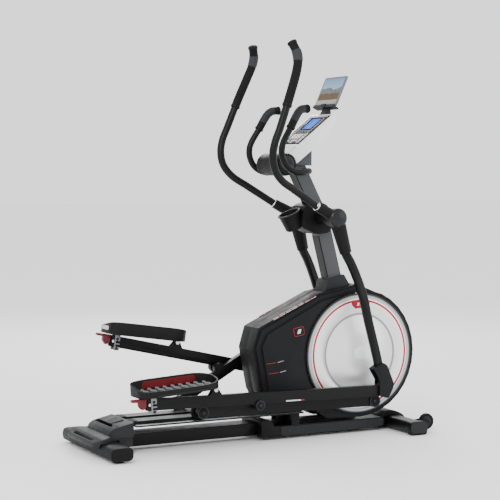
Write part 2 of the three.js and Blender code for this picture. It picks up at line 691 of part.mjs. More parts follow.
function buildPedalArm(group, name) {
  const inner = PEDAL_ARM.inner;
  const outer = inner + PEDAL_ARM.width;
  const low = PEDAL_ARM.rise - PEDAL_ARM.height / 2;
  const high = PEDAL_ARM.rise + PEDAL_ARM.height / 2;
  const nose = PEDAL_ARM.span - 6;
  const tilted = new THREE.Group(); // the tube leans down towards the front eye
  tilted.rotation.y = rad(PEDAL_ARM.droop);
  group.add(tilted);

  const eye = flat(PEDAL_ARM.span, 0).rotateAround(flat(0, 0), rad(PEDAL_ARM.droop));
  const hinge = { x: -212, z: 78 };
  const tube = cut(
    slabY(
      outline([[-PEDAL_ARM.tail, low], [nose, low, 14], [nose, high], [-PEDAL_ARM.tail, high]]),
      inner,
      outer,
    ),
    box([-PEDAL_ARM.tail - 1, -PEDAL_ARM.tail + 150], [inner + 3, outer - 3], [low + 3, high - 3]),
  );
  const ears = [
    [inner, inner + 5],
    [outer - 5, outer],
  ].map(([y0, y1]) =>
    slabY(
      outline([
        [hinge.x - 30, high - 1], [hinge.x + 30, high - 1],
        [hinge.x + 9, hinge.z + 9, 8], [hinge.x - 9, hinge.z + 9, 8],
      ]),
      y0,
      y1,
    ),
  );
  const arm = cut(
    join(
      tube,
      rodY(0, 0, 24, inner, outer, 18),
      rodY(eye.x, eye.y, PEDAL_ARM.eye, inner + 1, outer - 1, 18),
      ...ears,
      rodY(hinge.x, hinge.z, 5, inner + 1, outer - 1, 12),
    ),
    rodY(0, 0, 10 + RUNNING, inner - 1, outer + 1),
    rodY(eye.x, eye.y, 9, inner - 1, outer + 1, 16),
    rodY(-PEDAL_ARM.tail + 12, PEDAL_ARM.rise, 4, inner - 1, outer + 1, 10),
  );
  piece(name + "_pedal_arm", arm, FINISH.blackPaint(), tilted);

  const pedal = placed(tilted, hinge.x, hinge.z, rad(PEDAL.tilt));
  buildPedal(pedal, name, { inner, outer });

  const lever = placed(tilted, -PEDAL_ARM.tail - 12, PEDAL_ARM.rise + 8);
  const grab = slabY(
    outline([
      [-58, 4, 5], [-58, 15, 5], [-6, 17, 4], [9, 17, 3],
      [9, -20, 4], [-8, -30, 5], [-24, -14, 5], [-26, 4, 3],
    ]),
    inner + 2,
    outer - 2,
  );
  piece(name + "_release_lever", grab, FINISH.redPlastic(), lever);
}

/** A footplate with a low outer rim and a high inner rim, from its hinge at the toe. */
function buildPedal(group, name, { inner, outer }) {
  const floorZ = 10;
  const toe = 20;
  const heel = toe - PEDAL.length;
  const y0 = PEDAL.centre - PEDAL.width / 2;
  const y1 = PEDAL.centre + PEDAL.width / 2;
  const plan = (inset) =>
    outline([
      [heel + inset, y0 + 14 + inset, 40], [heel + 60, y0 + inset, 60], [toe - 60, y0 + inset, 60],
      [toe - inset, y0 + 40, 40], [toe - inset, y1 - 40, 40], [toe - 60, y1 - inset, 60],
      [heel + 60, y1 - inset, 60], [heel + inset, y1 - 14 - inset, 40],
    ]);
  const top = floorZ + PEDAL.highRim;
  const skew = Math.atan2(PEDAL.highRim - PEDAL.lowRim, PEDAL.width);
  const lid = solidOf(
    new THREE.BoxGeometry(700, 400, 100)
      .translate(0, 200, 50)
      .rotateX(-skew)
      .translate(heel + PEDAL.length / 2, y0, top),
  );
  const tray = cut(slabZ(plan(0), floorZ, top, 3), slabZ(plan(9), floorZ + PEDAL.deck, top + 1, 3), lid);
  const knuckle = join(
    box([-10, 10], [inner + 6, outer - 6], [0, floorZ + 1]),
    rodY(0, 0, 10, inner + 6, outer - 6, 16),
  );
  const pedal = cut(join(tray, knuckle), rodY(0, 0, 5 + RUNNING, inner, outer, 12));
  piece(name + "_pedal", pedal, FINISH.blackPlastic(), group);

  const strapX = heel + 62;
  const plateZ = [-62, floorZ - GAP];
  const thick = 2.5;
  const slots = [-46, -30].map((z) =>
    slabY(
      outline([[strapX - 2, z], [strapX + 22, z], [strapX + 22, z + 9], [strapX - 2, z + 9]], 4),
      inner - 20,
      outer + 20,
    ),
  );
  const strap = cut(
    join(
      box([strapX - 8, strapX + 18], [inner - 4 - thick, inner - 4], plateZ),
      box([strapX - 8, strapX + 18], [outer + 4, outer + 4 + thick], plateZ),
      box([strapX - 8, strapX + 18], [inner - 4 - thick, outer + 4 + thick], [plateZ[1] - thick, plateZ[1]]),
    ),
    ...slots,
  );
  piece(name + "_pedal_bracket", strap, FINISH.chrome(), group);
}

function buildSwingArm(group, name) {
  const y = SWING.tubeY;
  const lowerPath = [
    point(22, y, -74), point(44, y, -154), point(70, y, -200), point(94, y, -251), point(132, y, -352),
    point(158, y, -470), point(185, y, -577), point(207, y, -672), point(211, y, -700),
  ];
  const bar = (grow) => {
    const w = SWING.tubeWidth / 2 + grow;
    const d = SWING.tubeDepth / 2 + grow;
    return new THREE.Shape(
      [
        [5 - w, -d], [w - 5, -d], [w, 5 - d], [w, d - 5], [w - 5, d], [5 - w, d], [-w, d - 5], [-w, 5 - d],
      ].map(([x, z]) => flat(x, z)),
    );
  };
  const handlePath = [
    point(-34, 194, 17), point(-70, 199, 36), point(-150, 215, 85), point(-235, 233, 137),
    point(-300, 248, 178), point(-340, 262, 228), point(-352, 270, 287), point(-342, 275, 345),
    point(-319, 277, 400), point(-268, 272, 530),
    point(-226, 262, 635), point(-208, 250, 690), point(-206, 238, 730), point(-220, 222, 774),
  ];
  const cheekSpan = [171, 209];
  const front = flat(0, -SWING.lowerRadius).rotateAround(flat(0, 0), rad(SWING.drawnAngle));
  const cheekOutline = outline([
    [front.x - 24, front.y - 12, 20], [front.x + 14, front.y - 24, 14], [front.x + 24, front.y, 14],
    [front.x + 12, front.y + 86], [front.x - 30, front.y + 90],
  ]);
  const fork = [
    slabY(cheekOutline, cheekSpan[0], cheekSpan[0] + 4),
    slabY(cheekOutline, cheekSpan[1] - 4, cheekSpan[1]),
    slabY(
      outline([
        [front.x - 28, front.y + 62], [front.x + 14, front.y + 62],
        [front.x + 12, front.y + 88], [front.x - 30, front.y + 90],
      ]),
      ...cheekSpan,
    ),
  ];
  const lower = sweep(bar(0), lowerPath, 14);
  piece(name + "_lower_arm", join(lower, ...fork), FINISH.blackPaint(), group);

  const hub = join(
    turnedY(
      [
        [0, HUB.inner], [32, HUB.inner], [HUB.radius, 176], [HUB.radius, HUB.outer - 4],
        [36, HUB.outer + 6], [20, HUB.outer + 12], [0, HUB.outer + 14],
      ],
      0,
      0,
      18,
    ),
    rodBetween(point(6, y, -10), point(48, y, -158), 36, 27, 16),
    rodBetween(point(0, 188, 4), point(-104, 205, 57), 27, 22, 16),
  );
  const bearing = rodY(0, 0, HUB.shaft + RUNNING, HUB.inner - 5, HUB.shaftEnd + 1);
  const lowSocket = sweep(bar(GAP + 0.4), [point(21.6, y, -72.5), ...lowerPath], 15);
  const highSocket = sweep(ring(HANDLE.radius + GAP + 0.4, 8), [point(-31, 193.6, 15.4), ...handlePath], 25);
  piece(name + "_arm_hub", cut(hub, bearing, lowSocket, highSocket), FINISH.blackPlastic(), group);

  piece(name + "_handlebar", sweep(ring(HANDLE.radius, 8), handlePath, 24), FINISH.blackPaint(), group);

  const gripStart = 8;
  const gripPath = handlePath.slice(gripStart);
  const top = gripPath[gripPath.length - 1];
  const beyond = top.clone().add(top.clone().sub(gripPath[gripPath.length - 2]).setLength(5));
  const sleeve = cut(
    sweep(ring(HANDLE.gripRadius, 8), [...gripPath, beyond], 10),
    sweep(ring(HANDLE.radius + GAP, 8), handlePath, 24),
    rodBetween(
      gripPath[gripPath.length - 2], top.clone().lerp(beyond, 0.3),
      HANDLE.radius - 1, HANDLE.radius + GAP, 12,
    ),
  );
  piece(name + "_hand_grip", largestBody(sleeve), FINISH.rubber(), group);

  const coverOutline = (grow) =>
    outline([
      [front.x - 54 - grow, front.y + 84 + grow], [front.x - 4, front.y + 110 + grow, 6],
      [front.x + 18 + grow, front.y + 96 + grow, 8], [front.x + 54 + grow, front.y + 4, 14],
      [front.x + 22 + grow, front.y - 56 - grow, 10], [front.x - 26, front.y - 42 - grow, 8],
      [front.x - 24 - grow, front.y + 30],
    ]);
  const room = slabY(coverOutline(-3.5), cheekSpan[0] - 1, cheekSpan[1] + 1);
  const across = [cheekSpan[0] - 1, cheekSpan[1] + 1];
  const rearOpening = box([front.x - 90, front.x - 8], across, [front.y - 90, front.y + 82]);
  const bottomOpening = box([front.x - 90, front.x + 40], across, [front.y - 90, front.y - 20]);
  const cover = cut(
    slabY(coverOutline(0), cheekSpan[0] - 4, cheekSpan[1] + 4),
    room,
    rearOpening,
    bottomOpening,
    sweep(bar(GAP + 0.4), lowerPath, 14),
  );
  piece(name + "_joint_cover", largestBody(cover), FINISH.charcoalPlastic(), group);
}

/** The biggest of the separate bodies left by a cut. */
function largestBody(solid) {
  return solid.decompose().sort((a, b) => b.volume() - a.volume())[0];
}

function buildStride() {
  for (const side of SIDES) {
    const half = mirroredHalf(side);
    const { roller, pivot, linkAngle, armAngle, swingAngle } = side.pose;
    buildLink(placed(half, roller.x, roller.y, linkAngle), side.name);
    buildPedalArm(placed(half, pivot.x, pivot.y, armAngle), side.name);
    buildSwingArm(placed(half, SWING_PIVOT.x, SWING_PIVOT.z, swingAngle), side.name);
  }
}

// ---------------------------------------------------------------- bottle holder and fixed grips
function buildBottleHolder() {
  const cup = solidOf(
    new THREE.LatheGeometry(
      [
        [0, 0], [CUP.radius - 14, 0], [CUP.radius - 8, 6], [CUP.radius, CUP.depth - 6],
        [CUP.radius + 4, CUP.depth],
        [CUP.radius, CUP.depth + 4], [CUP.radius - CUP.wall, CUP.depth], [CUP.radius - 12, 8], [0, 6],
      ].map(([r, h]) => flat(r, h)),
      20,
    )
      .rotateX(Math.PI / 2)
      .rotateY(-rad(CUP.lean))
      .translate(CUP.x, 0, CUP.z - CUP.depth / 2),
  );
  const cupSpace = solidOf(
    new THREE.CylinderGeometry(CUP.radius - CUP.wall, CUP.radius - 12, CUP.depth + 40, 20)
      .translate(0, CUP.depth / 2 + 27, 0)
      .rotateX(Math.PI / 2)
      .rotateY(-rad(CUP.lean))
      .translate(CUP.x, 0, CUP.z - CUP.depth / 2),
  );
  const housing = slabY(
    outline([
      [222, 948, 14], [300, 914, 16], [372, 922, 20], [388, 990, 24], [356, 1050, 20],
      [300, 1064, 20], [236, 1046, 18],
    ]),
    -56,
    56,
  );
  const mastRoom = slabY(mastOutline(880, 1100, MAST.half + GAP), ...MAST_ROOM);
  const crossRoom = rodY(SWING_PIVOT.x, SWING_PIVOT.z, 30 + GAP, -101, 101, 20);
  const holder = cut(join(housing, cup), cupSpace, mastRoom, crossRoom);
  piece("bottle_holder", largestBody(holder), FINISH.blackPlastic());
}

function buildFixedGrips() {
  for (const side of SIDES) {
    const half = mirroredHalf(side);
    const path = [
      [34, MAST.width / 2 + GAP, -36], [34, MAST.width / 2 + 14, -36], [33, MAST.width / 2 + 28, -36],
      [23, 88, -36], [5, 125, -35], [-37, 149, -39], [-83, 156, -37], [-125, 157, -10], [-147, 157, 36],
      [-143, 156, 84], [-101, 151, 157], [-63, 146, 220], [-41, 141, 238], [-7, 134, 242],
    ].map(([x, y, z]) => point(MAST.top.x + x, y, MAST.top.z + z));
    piece(side.name + "_grip_bar", sweep(ring(14.5, 8), path, 20), FINISH.blackPaint(), half);
    const sleeve = cut(
      sweep(ring(18, 8), path.slice(9), 7),
      sweep(ring(14.5 + GAP, 8), path, 20),
    );
    piece(side.name + "_pulse_grip", largestBody(sleeve), FINISH.blackPlastic(), half);
  }
}

// ---------------------------------------------------------------- console
/** Side outline of the console in its own frame, grown by a margin. */
function consoleOutline(grow = 0) {
  const L = CONSOLE.length;
  const T = CONSOLE.thickness;
  return outline(
    [
      [4 - grow, -20], [24 - grow, -T - grow, 18], [L - 110, -T - grow, 40], [L - 26, -38 - grow, 14],
      [L + 12 + grow, -18, 8], [L + grow, grow], [4 - grow, grow],
    ],
    2,
  );
}

function buildConsole() {
  const deck = placed(machine, CONSOLE_SEAT.x, CONSOLE_SEAT.z, rad(CONSOLE.tilt));
  const L = CONSOLE.length;
  const half = CONSOLE.half;
  const barrel = { x: -10, z: -32, radius: 50 };
  const body = slabY(consoleOutline(), -half, half);
  const panelRoom = box([96, L - 10], [-half + 10, half - 10], [-5, 10]);
  const cavity = box([60, L - 60], [-half + 6, half - 6], [-CONSOLE.thickness + 8, -14]);
  const vent = box([110, 180], [-24, 24], [-CONSOLE.thickness - 1, -CONSOLE.thickness + 9]);
  const barrelRoom = rodY(barrel.x, barrel.z, barrel.radius + GAP, -half - 1, half + 1, 28);
  piece("console_body", cut(body, panelRoom, cavity, vent, barrelRoom), FINISH.whitePlastic(), deck);

  const keyPlaces = { start: [120, 34], stop: [120, -34] };
  const keyRooms = Object.values(keyPlaces).map(([x, y]) => box([x - 9, x + 9], [y - 15, y + 15], [-4, 10]));
  const panel = cut(
    slabZ(
      outline([[96.5, 11 - half], [L - 11, 11 - half], [L - 11, half - 11], [96.5, half - 11]], 10),
      -4.6,
      1.5,
    ),
    box([L - 112, L - 30], [-46, 46], [-1, 4]),
    ...keyRooms,
  );
  piece("console_panel", panel, FINISH.blackPlastic(), deck);
  for (const [name, [x, y]] of Object.entries(keyPlaces)) {
    const face = outline([[x - 8, y - 14], [x + 8, y - 14], [x + 8, y + 14], [x - 8, y + 14]], 4);
    const key = slabZ(face, -1.6, 3.5, 2);
    piece(name + "_key", key, name === "stop" ? FINISH.redPlastic() : FINISH.whitePlastic(), deck);
  }
  piece(
    "console_barrel",
    rodY(barrel.x, barrel.z, barrel.radius, -half + 2, half - 2, 28),
    FINISH.blackPlastic(),
    deck,
  );

  const { x: topX, z: topZ } = MAST.top;
  const neck = slabY(
    outline([
      [topX - 37, topZ + GAP], [topX + 17, topZ - 10], [topX + 69, topZ - 10],
      [topX + 69, topZ + 124], [topX - 13, topZ + 104],
    ]),
    -40,
    40,
  );
  const mastRoom = slabY(mastOutline(topZ - 136, topZ + GAP, MAST.half + GAP), ...MAST_ROOM);
  const above = turn(box([0, L], [-half, half], [-30, 100]), CONSOLE.tilt).translate([
    CONSOLE_SEAT.x,
    0,
    CONSOLE_SEAT.z,
  ]);
  const room = turn(slabY(consoleOutline(GAP), -half - 1, half + 1), CONSOLE.tilt).translate([
    CONSOLE_SEAT.x,
    0,
    CONSOLE_SEAT.z,
  ]);
  piece("console_neck", largestBody(cut(neck, above, room, mastRoom)), FINISH.greyPaint());
}

/** Tray, back and stem that hold a tablet above the console. */
function buildTabletRack() {
  const upright = 90 - TABLET.lean;
  const rest = placed(machine, TABLET_SEAT.x, TABLET_SEAT.z, rad(upright));
  const tablet = box([1, TABLET.height], [-TABLET.half, TABLET.half], [GAP, GAP + TABLET.thickness]);
  piece("tablet", tablet, FINISH.blackPlastic(), rest);
  const back = box([-8, 92], [-40, 40], [-7, 0]);
  const ledge = box([-8, 0], [-TABLET.half + 4, TABLET.half - 4], [-14, 16]);
  const lip = box([-8, 7], [-TABLET.half + 4, TABLET.half - 4], [GAP + TABLET.thickness + 1, 16]);
  const stem = slabY(outline([[-6, -14], [-34, -30], [-60, -30], [-60, 2], [-30, 2], [-6, 0]]), -26, 26);
  const consoleRoom = turn(slabY(consoleOutline(GAP), -CONSOLE.half - 1, CONSOLE.half + 1), CONSOLE.tilt);
  const seen = turn(consoleRoom.translate([-TABLET.ahead, 0, -TABLET.above]), -upright);
  piece("tablet_rack", largestBody(cut(join(back, ledge, lip, stem), seen)), FINISH.charcoalPlastic(), rest);
}

buildRearEnd();
buildRearCover();
buildRails();
buildFrontEnd();
buildMainFrame();
buildShroud();
buildDrive();
buildStride();
buildBottleHolder();
buildFixedGrips();
buildConsole();
buildTabletRack();

export default machine;
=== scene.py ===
"""Elliptical trainer: the finished looks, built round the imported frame.

Sizes in the classes below are millimetres in the machine's own frame: +X points forward, +Y to the
left, +Z up, with the origin on the floor under the middle of the machine. Each sub-assembly is a
class that holds its sizes, builds its meshes and dresses the frame's own nodes. Angles in
them are degrees. The studio's places and sizes are metres.
"""

import json
import logging
import math
from dataclasses import dataclass, field
from enum import Enum
from typing import Iterable, Optional, Sequence

import bmesh
import bpy
from mathutils import Matrix, Vector
from mathutils.geometry import interpolate_bezier

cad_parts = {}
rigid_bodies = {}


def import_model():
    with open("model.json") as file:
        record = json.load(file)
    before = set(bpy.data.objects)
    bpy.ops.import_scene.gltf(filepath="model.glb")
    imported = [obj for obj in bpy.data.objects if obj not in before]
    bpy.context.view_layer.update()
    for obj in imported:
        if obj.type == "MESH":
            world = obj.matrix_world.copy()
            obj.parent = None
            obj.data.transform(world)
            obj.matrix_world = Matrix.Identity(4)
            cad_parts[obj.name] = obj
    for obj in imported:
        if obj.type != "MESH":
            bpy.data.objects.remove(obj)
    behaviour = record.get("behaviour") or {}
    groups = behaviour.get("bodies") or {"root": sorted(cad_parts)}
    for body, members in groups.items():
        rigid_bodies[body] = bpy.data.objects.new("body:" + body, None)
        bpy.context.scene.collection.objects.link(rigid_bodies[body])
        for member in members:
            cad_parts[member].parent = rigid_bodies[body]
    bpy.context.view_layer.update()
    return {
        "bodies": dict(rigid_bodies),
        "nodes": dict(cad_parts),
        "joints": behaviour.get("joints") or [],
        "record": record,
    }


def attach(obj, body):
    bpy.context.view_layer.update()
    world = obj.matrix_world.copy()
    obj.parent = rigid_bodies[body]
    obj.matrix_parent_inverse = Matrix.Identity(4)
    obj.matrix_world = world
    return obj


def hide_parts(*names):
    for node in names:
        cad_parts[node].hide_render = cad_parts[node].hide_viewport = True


LOG = logging.getLogger("elliptical")
MM = 0.001
CRANK_X, CRANK_Z = 498.0, 367.0
HUB = (320.5, 992.0)  # X and Z of the arms' shared pivot
PATH_STEPS = 10  # points in each stretch of a smooth path
WELD_METRES = 2e-6  # points of a frame node that count as one, in metres
WELD_SHAPE = 1e-4  # the same for a turned shape, in millimetres
WELD_BAR = 1e-3  # the same for a swept bar, in millimetres
FLAT_DEGREES = 0.6  # faces that turn by less are merged
Point2 = tuple[float, float]
Point3 = tuple[float, float, float]
Colour = tuple[float, float, float]


class Side(Enum):
    """Which half of the machine a piece belongs to."""

    RIGHT = "right"
    LEFT = "left"

    @property
    def mirrored(self) -> bool:
        """True for the half that lies on -Y."""
        return self is Side.RIGHT


class Along(Enum):
    """The axis that a profile is extruded or turned along."""

    Y = "Y"
    Z = "Z"


# ---------------------------------------------------------------- material graphs
class Graph:
    """A small wrapper that wires the nodes of one material."""

    def __init__(self, name: str) -> None:
        """Starts a material that holds only its shader and output.

        Args:
            name: the material's name.
        """
        self.material = bpy.data.materials.new(name)
        self.material.use_nodes = True
        self.tree = self.material.node_tree
        self.tree.nodes.clear()
        self.output = self.tree.nodes.new("ShaderNodeOutputMaterial")
        self.shader = self.tree.nodes.new("ShaderNodeBsdfPrincipled")
        self.tree.links.new(self.shader.outputs["BSDF"], self.output.inputs["Surface"])
        self.place = self.tree.nodes.new("ShaderNodeTexCoord").outputs["Object"]

    def put(self, target: bpy.types.NodeSocket, value: object) -> None:
        """Links a socket to a target, or sets the target's own value.

        Args:
            target: the input to feed.
            value: a socket, a number, a vector or a colour.
        """
        if isinstance(value, bpy.types.NodeSocket):
            self.tree.links.new(value, target)
        else:
            target.default_value = value

    def math(self, kind: str, a: object, b: object = 0.0, clamp: bool = False) -> bpy.types.NodeSocket:
        """A math node.

        Args:
            kind: the operation.
            a: the first value or socket.
            b: the second value or socket.
            clamp: keep the result between 0 and 1.

        Returns:
            The result's socket.
        """
        node = self.tree.nodes.new("ShaderNodeMath")
        node.operation = kind
        node.use_clamp = clamp
        self.put(node.inputs[0], a)
        self.put(node.inputs[1], b)
        return node.outputs[0]

    def vector(self, kind: str, a: object, b: object = (0.0, 0.0, 0.0)) -> bpy.types.Node:
        """A vector math node.

        Args:
            kind: the operation.
            a: the first vector or socket.
            b: the second vector or socket.

        Returns:
            The node.
        """
        node = self.tree.nodes.new("ShaderNodeVectorMath")
        node.operation = kind
        self.put(node.inputs[0], a)
        self.put(node.inputs[1], b)
        return node

    def along(self, origin: Point3, direction: Point3) -> bpy.types.NodeSocket:
        """Distance in millimetres along a direction from an origin.

        Args:
            origin: a point in millimetres.
            direction: a unit vector.

        Returns:
            The distance's socket.
        """
        start = tuple(value * MM for value in origin)
        offset = self.vector("SUBTRACT", self.place, start).outputs["Vector"]
        return self.math("DIVIDE", self.vector("DOT_PRODUCT", offset, direction).outputs["Value"], MM)

    def noise(
        self, scale: float, detail: float = 3.0, stretch: Point3 = (1.0, 1.0, 1.0)
    ) -> bpy.types.NodeSocket:
        """A noise pattern fixed to the piece.

        Args:
            scale: cycles in a metre.
            detail: octaves.
            stretch: how much each axis is multiplied first.

        Returns:
            The factor's socket.
        """
        node = self.tree.nodes.new("ShaderNodeTexNoise")
        self.put(node.inputs["Vector"], self.vector("MULTIPLY", self.place, stretch).outputs["Vector"])
        node.inputs["Scale"].default_value = scale
        node.inputs["Detail"].default_value = detail
        return node.outputs["Fac"]

    def spread(
        self, value: object, low: float, high: float, to_low: float, to_high: float
    ) -> bpy.types.NodeSocket:
        """Maps a range of a value onto another range.

        Args:
            value: the socket to map.
            low: start of the source range.
            high: end of the source range.
            to_low: start of the target range.
            to_high: end of the target range.

        Returns:
            The mapped socket.
        """
        node = self.tree.nodes.new("ShaderNodeMapRange")
        self.put(node.inputs["Value"], value)
        for name, number in zip(("From Min", "From Max", "To Min", "To Max"), (low, high, to_low, to_high)):
            node.inputs[name].default_value = number
        return node.outputs["Result"]

    def blend(self, factor: object, first: object, second: object) -> bpy.types.NodeSocket:
        """Mixes two colours.

        Args:
            factor: 0 for the first and 1 for the second.
            first: a colour or a socket.
            second: a colour or a socket.

        Returns:
            The mixed colour's socket.
        """
        node = self.tree.nodes.new("ShaderNodeMix")
        node.data_type = "RGBA"
        self.put(node.inputs["Factor"], factor)
        for socket, value in ((node.inputs[6], first), (node.inputs[7], second)):
            self.put(socket, value if isinstance(value, bpy.types.NodeSocket) else (*value, 1.0))
        return node.outputs[2]

    def steps(self, value: object, stops: Sequence[tuple[float, Colour]]) -> bpy.types.NodeSocket:
        """Flat bands of colour.

        Args:
            value: a socket between 0 and 1.
            stops: where each band starts, and its colour.

        Returns:
            The colour's socket.
        """
        node = self.tree.nodes.new("ShaderNodeValToRGB")
        self.put(node.inputs["Fac"], value)
        ramp = node.color_ramp
        ramp.interpolation = "CONSTANT"
        while len(ramp.elements) < len(stops):
            ramp.elements.new(1.0)
        for element, (start, colour) in zip(ramp.elements, stops):
            element.position = start
            element.color = (*colour, 1.0)
        return node.outputs["Color"]

    def bump(self, height: object, strength: float, depth: float) -> None:
        """Feeds the shader's normal from a height.

        Args:
            height: the height's socket.
            strength: 0 to 1.
            depth: the relief's depth in millimetres.
        """
        node = self.tree.nodes.new("ShaderNodeBump")
        node.inputs["Strength"].default_value = strength
        node.inputs["Distance"].default_value = depth * MM
        self.put(node.inputs["Height"], height)
        self.put(self.shader.inputs["Normal"], node.outputs["Normal"])

    def set(self, **values: float) -> None:
        """Sets the shader's own constants, with underscores for spaces."""
        for name, value in values.items():
            self.shader.inputs[name.replace("_", " ")].default_value = value


@dataclass(frozen=True)
class Finish:
    """A paint or moulded surface with grain, mottling and rubbed places."""

    name: str
    slot: str
    colour: Colour
    rough: float = 0.45
    grain: float = 900.0
    relief: float = 0.05
    strength: float = 0.35
    rubbed: float = 0.25
    metallic: float = 0.0
    coat: float = 0.0
    shine: float = 0.13

    def base(self, graph: Graph) -> object:
        """The clean colour, before it is mottled and rubbed."""
        return self.colour

    def height_of(self, graph: Graph) -> object:
        """The relief's height: a fine grain."""
        return graph.noise(self.grain, 2.0)

    def extras(self, graph: Graph) -> None:
        """Anything that a special finish adds to the shader."""

    def material(self) -> bpy.types.Material:
        """The material, made once and shared.

        Returns:
            The finished material.
        """
        found = bpy.data.materials.get(self.name)
        if found:
            return found
        graph = Graph(self.name)
        self.wire(graph)
        return graph.material

    def wire(self, graph: Graph) -> None:
        """Wires the whole shader.

        Args:
            graph: the material's graph.
        """
        base = self.base(graph)
        lighter = tuple(min(1.0, value * 1.35 + 0.012) for value in self.colour)
        patches = graph.spread(graph.noise(7.0, 4.0), 0.42, 0.72, 0.0, 1.0)
        specks = graph.spread(graph.noise(160.0, 3.0), 0.5, 0.75, 0.0, 1.0)
        worn = graph.math("MULTIPLY", graph.math("MULTIPLY", patches, specks, clamp=True), self.rubbed)
        graph.put(graph.shader.inputs["Base Color"], graph.blend(worn, base, lighter))
        mottle = graph.spread(graph.noise(24.0, 4.0), 0.3, 0.7, self.rough - 0.05, self.rough + 0.06)
        graph.put(graph.shader.inputs["Roughness"], mottle)
        graph.bump(self.height_of(graph), self.strength, self.relief)
        graph.set(
            Metallic=self.metallic, Coat_Weight=self.coat, Coat_Roughness=0.12,
            Specular_IOR_Level=self.shine
        )
        self.extras(graph)


@dataclass(frozen=True)
class BrushedMetal(Finish):
    """Metal whose fine scratches run one way."""

    stretch: Point3 = (0.04, 1.0, 1.0)

    def wire(self, graph: Graph) -> None:
        """Wires the whole shader.

        Args:
            graph: the material's graph.
        """
        lines = graph.noise(self.grain, 4.0, self.stretch)
        darker = tuple(value * 0.8 for value in self.colour)
        graph.put(graph.shader.inputs["Base Color"], graph.blend(lines, self.colour, darker))
        rough = graph.spread(lines, 0.2, 0.8, self.rough * 0.8, self.rough * 1.3)
        graph.put(graph.shader.inputs["Roughness"], rough)
        graph.bump(lines, self.strength, self.relief)
        graph.set(Metallic=1.0)


@dataclass(frozen=True)
class RingedFace(Finish):
    """A turned cover: fine concentric brushing, a groove, a red ring and a black rim."""

    radius: float = 277.0
    centre: Point2 = (CRANK_X, CRANK_Z)

    def wire(self, graph: Graph) -> None:
        """Wires the whole shader.

        Args:
            graph: the material's graph.
        """
        centre = (self.centre[0] * MM, 0.0, self.centre[1] * MM)
        arm = graph.vector(
            "MULTIPLY", graph.vector("SUBTRACT", graph.place, centre).outputs["Vector"], (1, 0, 1)
        )
        reach = graph.vector("LENGTH", arm.outputs["Vector"]).outputs["Value"]
        share = graph.math("DIVIDE", reach, self.radius * MM)
        silver, bright = self.colour, (0.93, 0.93, 0.94)
        red, grey = (0.36, 0.004, 0.016), (0.16, 0.165, 0.17)
        bands = graph.steps(
            share,
            [
                (0.0, silver), (0.635, (0.3, 0.305, 0.31)), (0.668, silver), (0.845, bright), (0.858, red),
                (0.892, bright), (0.91, (0.4, 0.41, 0.42)), (0.958, grey), (0.97, (0.006, 0.006, 0.0065)),
            ],
        )
        rings = graph.tree.nodes.new("ShaderNodeTexNoise")
        rings.noise_dimensions = "1D"
        rings.inputs["Scale"].default_value = self.grain
        rings.inputs["Detail"].default_value = 3.0
        graph.put(rings.inputs["W"], reach)
        lines = rings.outputs["Fac"]
        shade = graph.blend(graph.spread(lines, 0.3, 0.7, 0.0, 0.14), bands, (0.25, 0.25, 0.26))
        graph.put(graph.shader.inputs["Base Color"], shade)
        graph.put(
            graph.shader.inputs["Roughness"], graph.spread(lines, 0.2, 0.8, self.rough, self.rough + 0.12)
        )
        graph.bump(lines, self.strength, self.relief)
        turned = graph.vector("CROSS_PRODUCT", (0.0, 1.0, 0.0), arm.outputs["Vector"]).outputs["Vector"]
        graph.put(graph.shader.inputs["Tangent"], graph.vector("NORMALIZE", turned).outputs["Vector"])
        graph.set(Metallic=self.metallic, Anisotropic=0.75)


@dataclass(frozen=True)
class LitDisplay(Finish):
    """A blue readout with pale blocks, lit from behind."""

    origin: Point3 = (0.0, 0.0, 0.0)
    up: Point3 = (0.0, 0.0, 1.0)
    glow: float = 0.9

    def base(self, graph: Graph) -> object:
        """Bars of differing length on a blue ground.

        Args:
            graph: the material's graph.

        Returns:
            The colour's socket.
        """
        rise = graph.along(self.origin, self.up)
        across = graph.along(self.origin, (0.0, 1.0, 0.0))
        rows = graph.math("GREATER_THAN", graph.math("SINE", graph.math("MULTIPLY", rise, 0.52)), 0.25)
        columns = graph.math("GREATER_THAN", graph.math("SINE", graph.math("MULTIPLY", across, 0.9)), -0.35)
        chosen = graph.math("GREATER_THAN", graph.noise(48.0, 0.0), 0.47)
        blocks = graph.math("MULTIPLY", graph.math("MULTIPLY", rows, columns), chosen)
        return graph.blend(graph.math("MULTIPLY", blocks, 0.4), self.colour, (0.2, 0.45, 0.85))

    def extras(self, graph: Graph) -> None:
        """Lets the readout glow in its own colour."""
        source = graph.shader.inputs["Base Color"].links[0].from_socket
        graph.put(graph.shader.inputs["Emission Color"], source)
        graph.set(Emission_Strength=self.glow)


@dataclass(frozen=True)
class LitLandscape(LitDisplay):
    """A made-up landscape: sky, hills, a brown meadow and a pale road."""

    height: float = 150.0

    def base(self, graph: Graph) -> object:
        """The picture's colour.

        Args:
            graph: the material's graph.

        Returns:
            The colour's socket.
        """
        rise = graph.math("DIVIDE", graph.along(self.origin, self.up), self.height)
        waver = graph.spread(graph.noise(14.0, 5.0, (0.0, 1.0, 0.0)), 0.0, 1.0, -0.2, 0.2)
        hills = graph.math("ADD", rise, waver)
        sky = graph.blend(rise, (0.42, 0.48, 0.52), (0.12, 0.22, 0.36))
        ridge = graph.blend(graph.noise(60.0, 4.0), (0.03, 0.045, 0.055), (0.2, 0.22, 0.23))
        meadow = graph.blend(graph.noise(90.0, 5.0), (0.035, 0.022, 0.01), (0.16, 0.11, 0.06))
        upper = graph.blend(graph.math("GREATER_THAN", hills, 0.62), ridge, sky)
        ground = graph.blend(graph.math("LESS_THAN", rise, 0.42), upper, meadow)
        return graph.blend(graph.math("LESS_THAN", rise, 0.16), ground, (0.3, 0.29, 0.27))


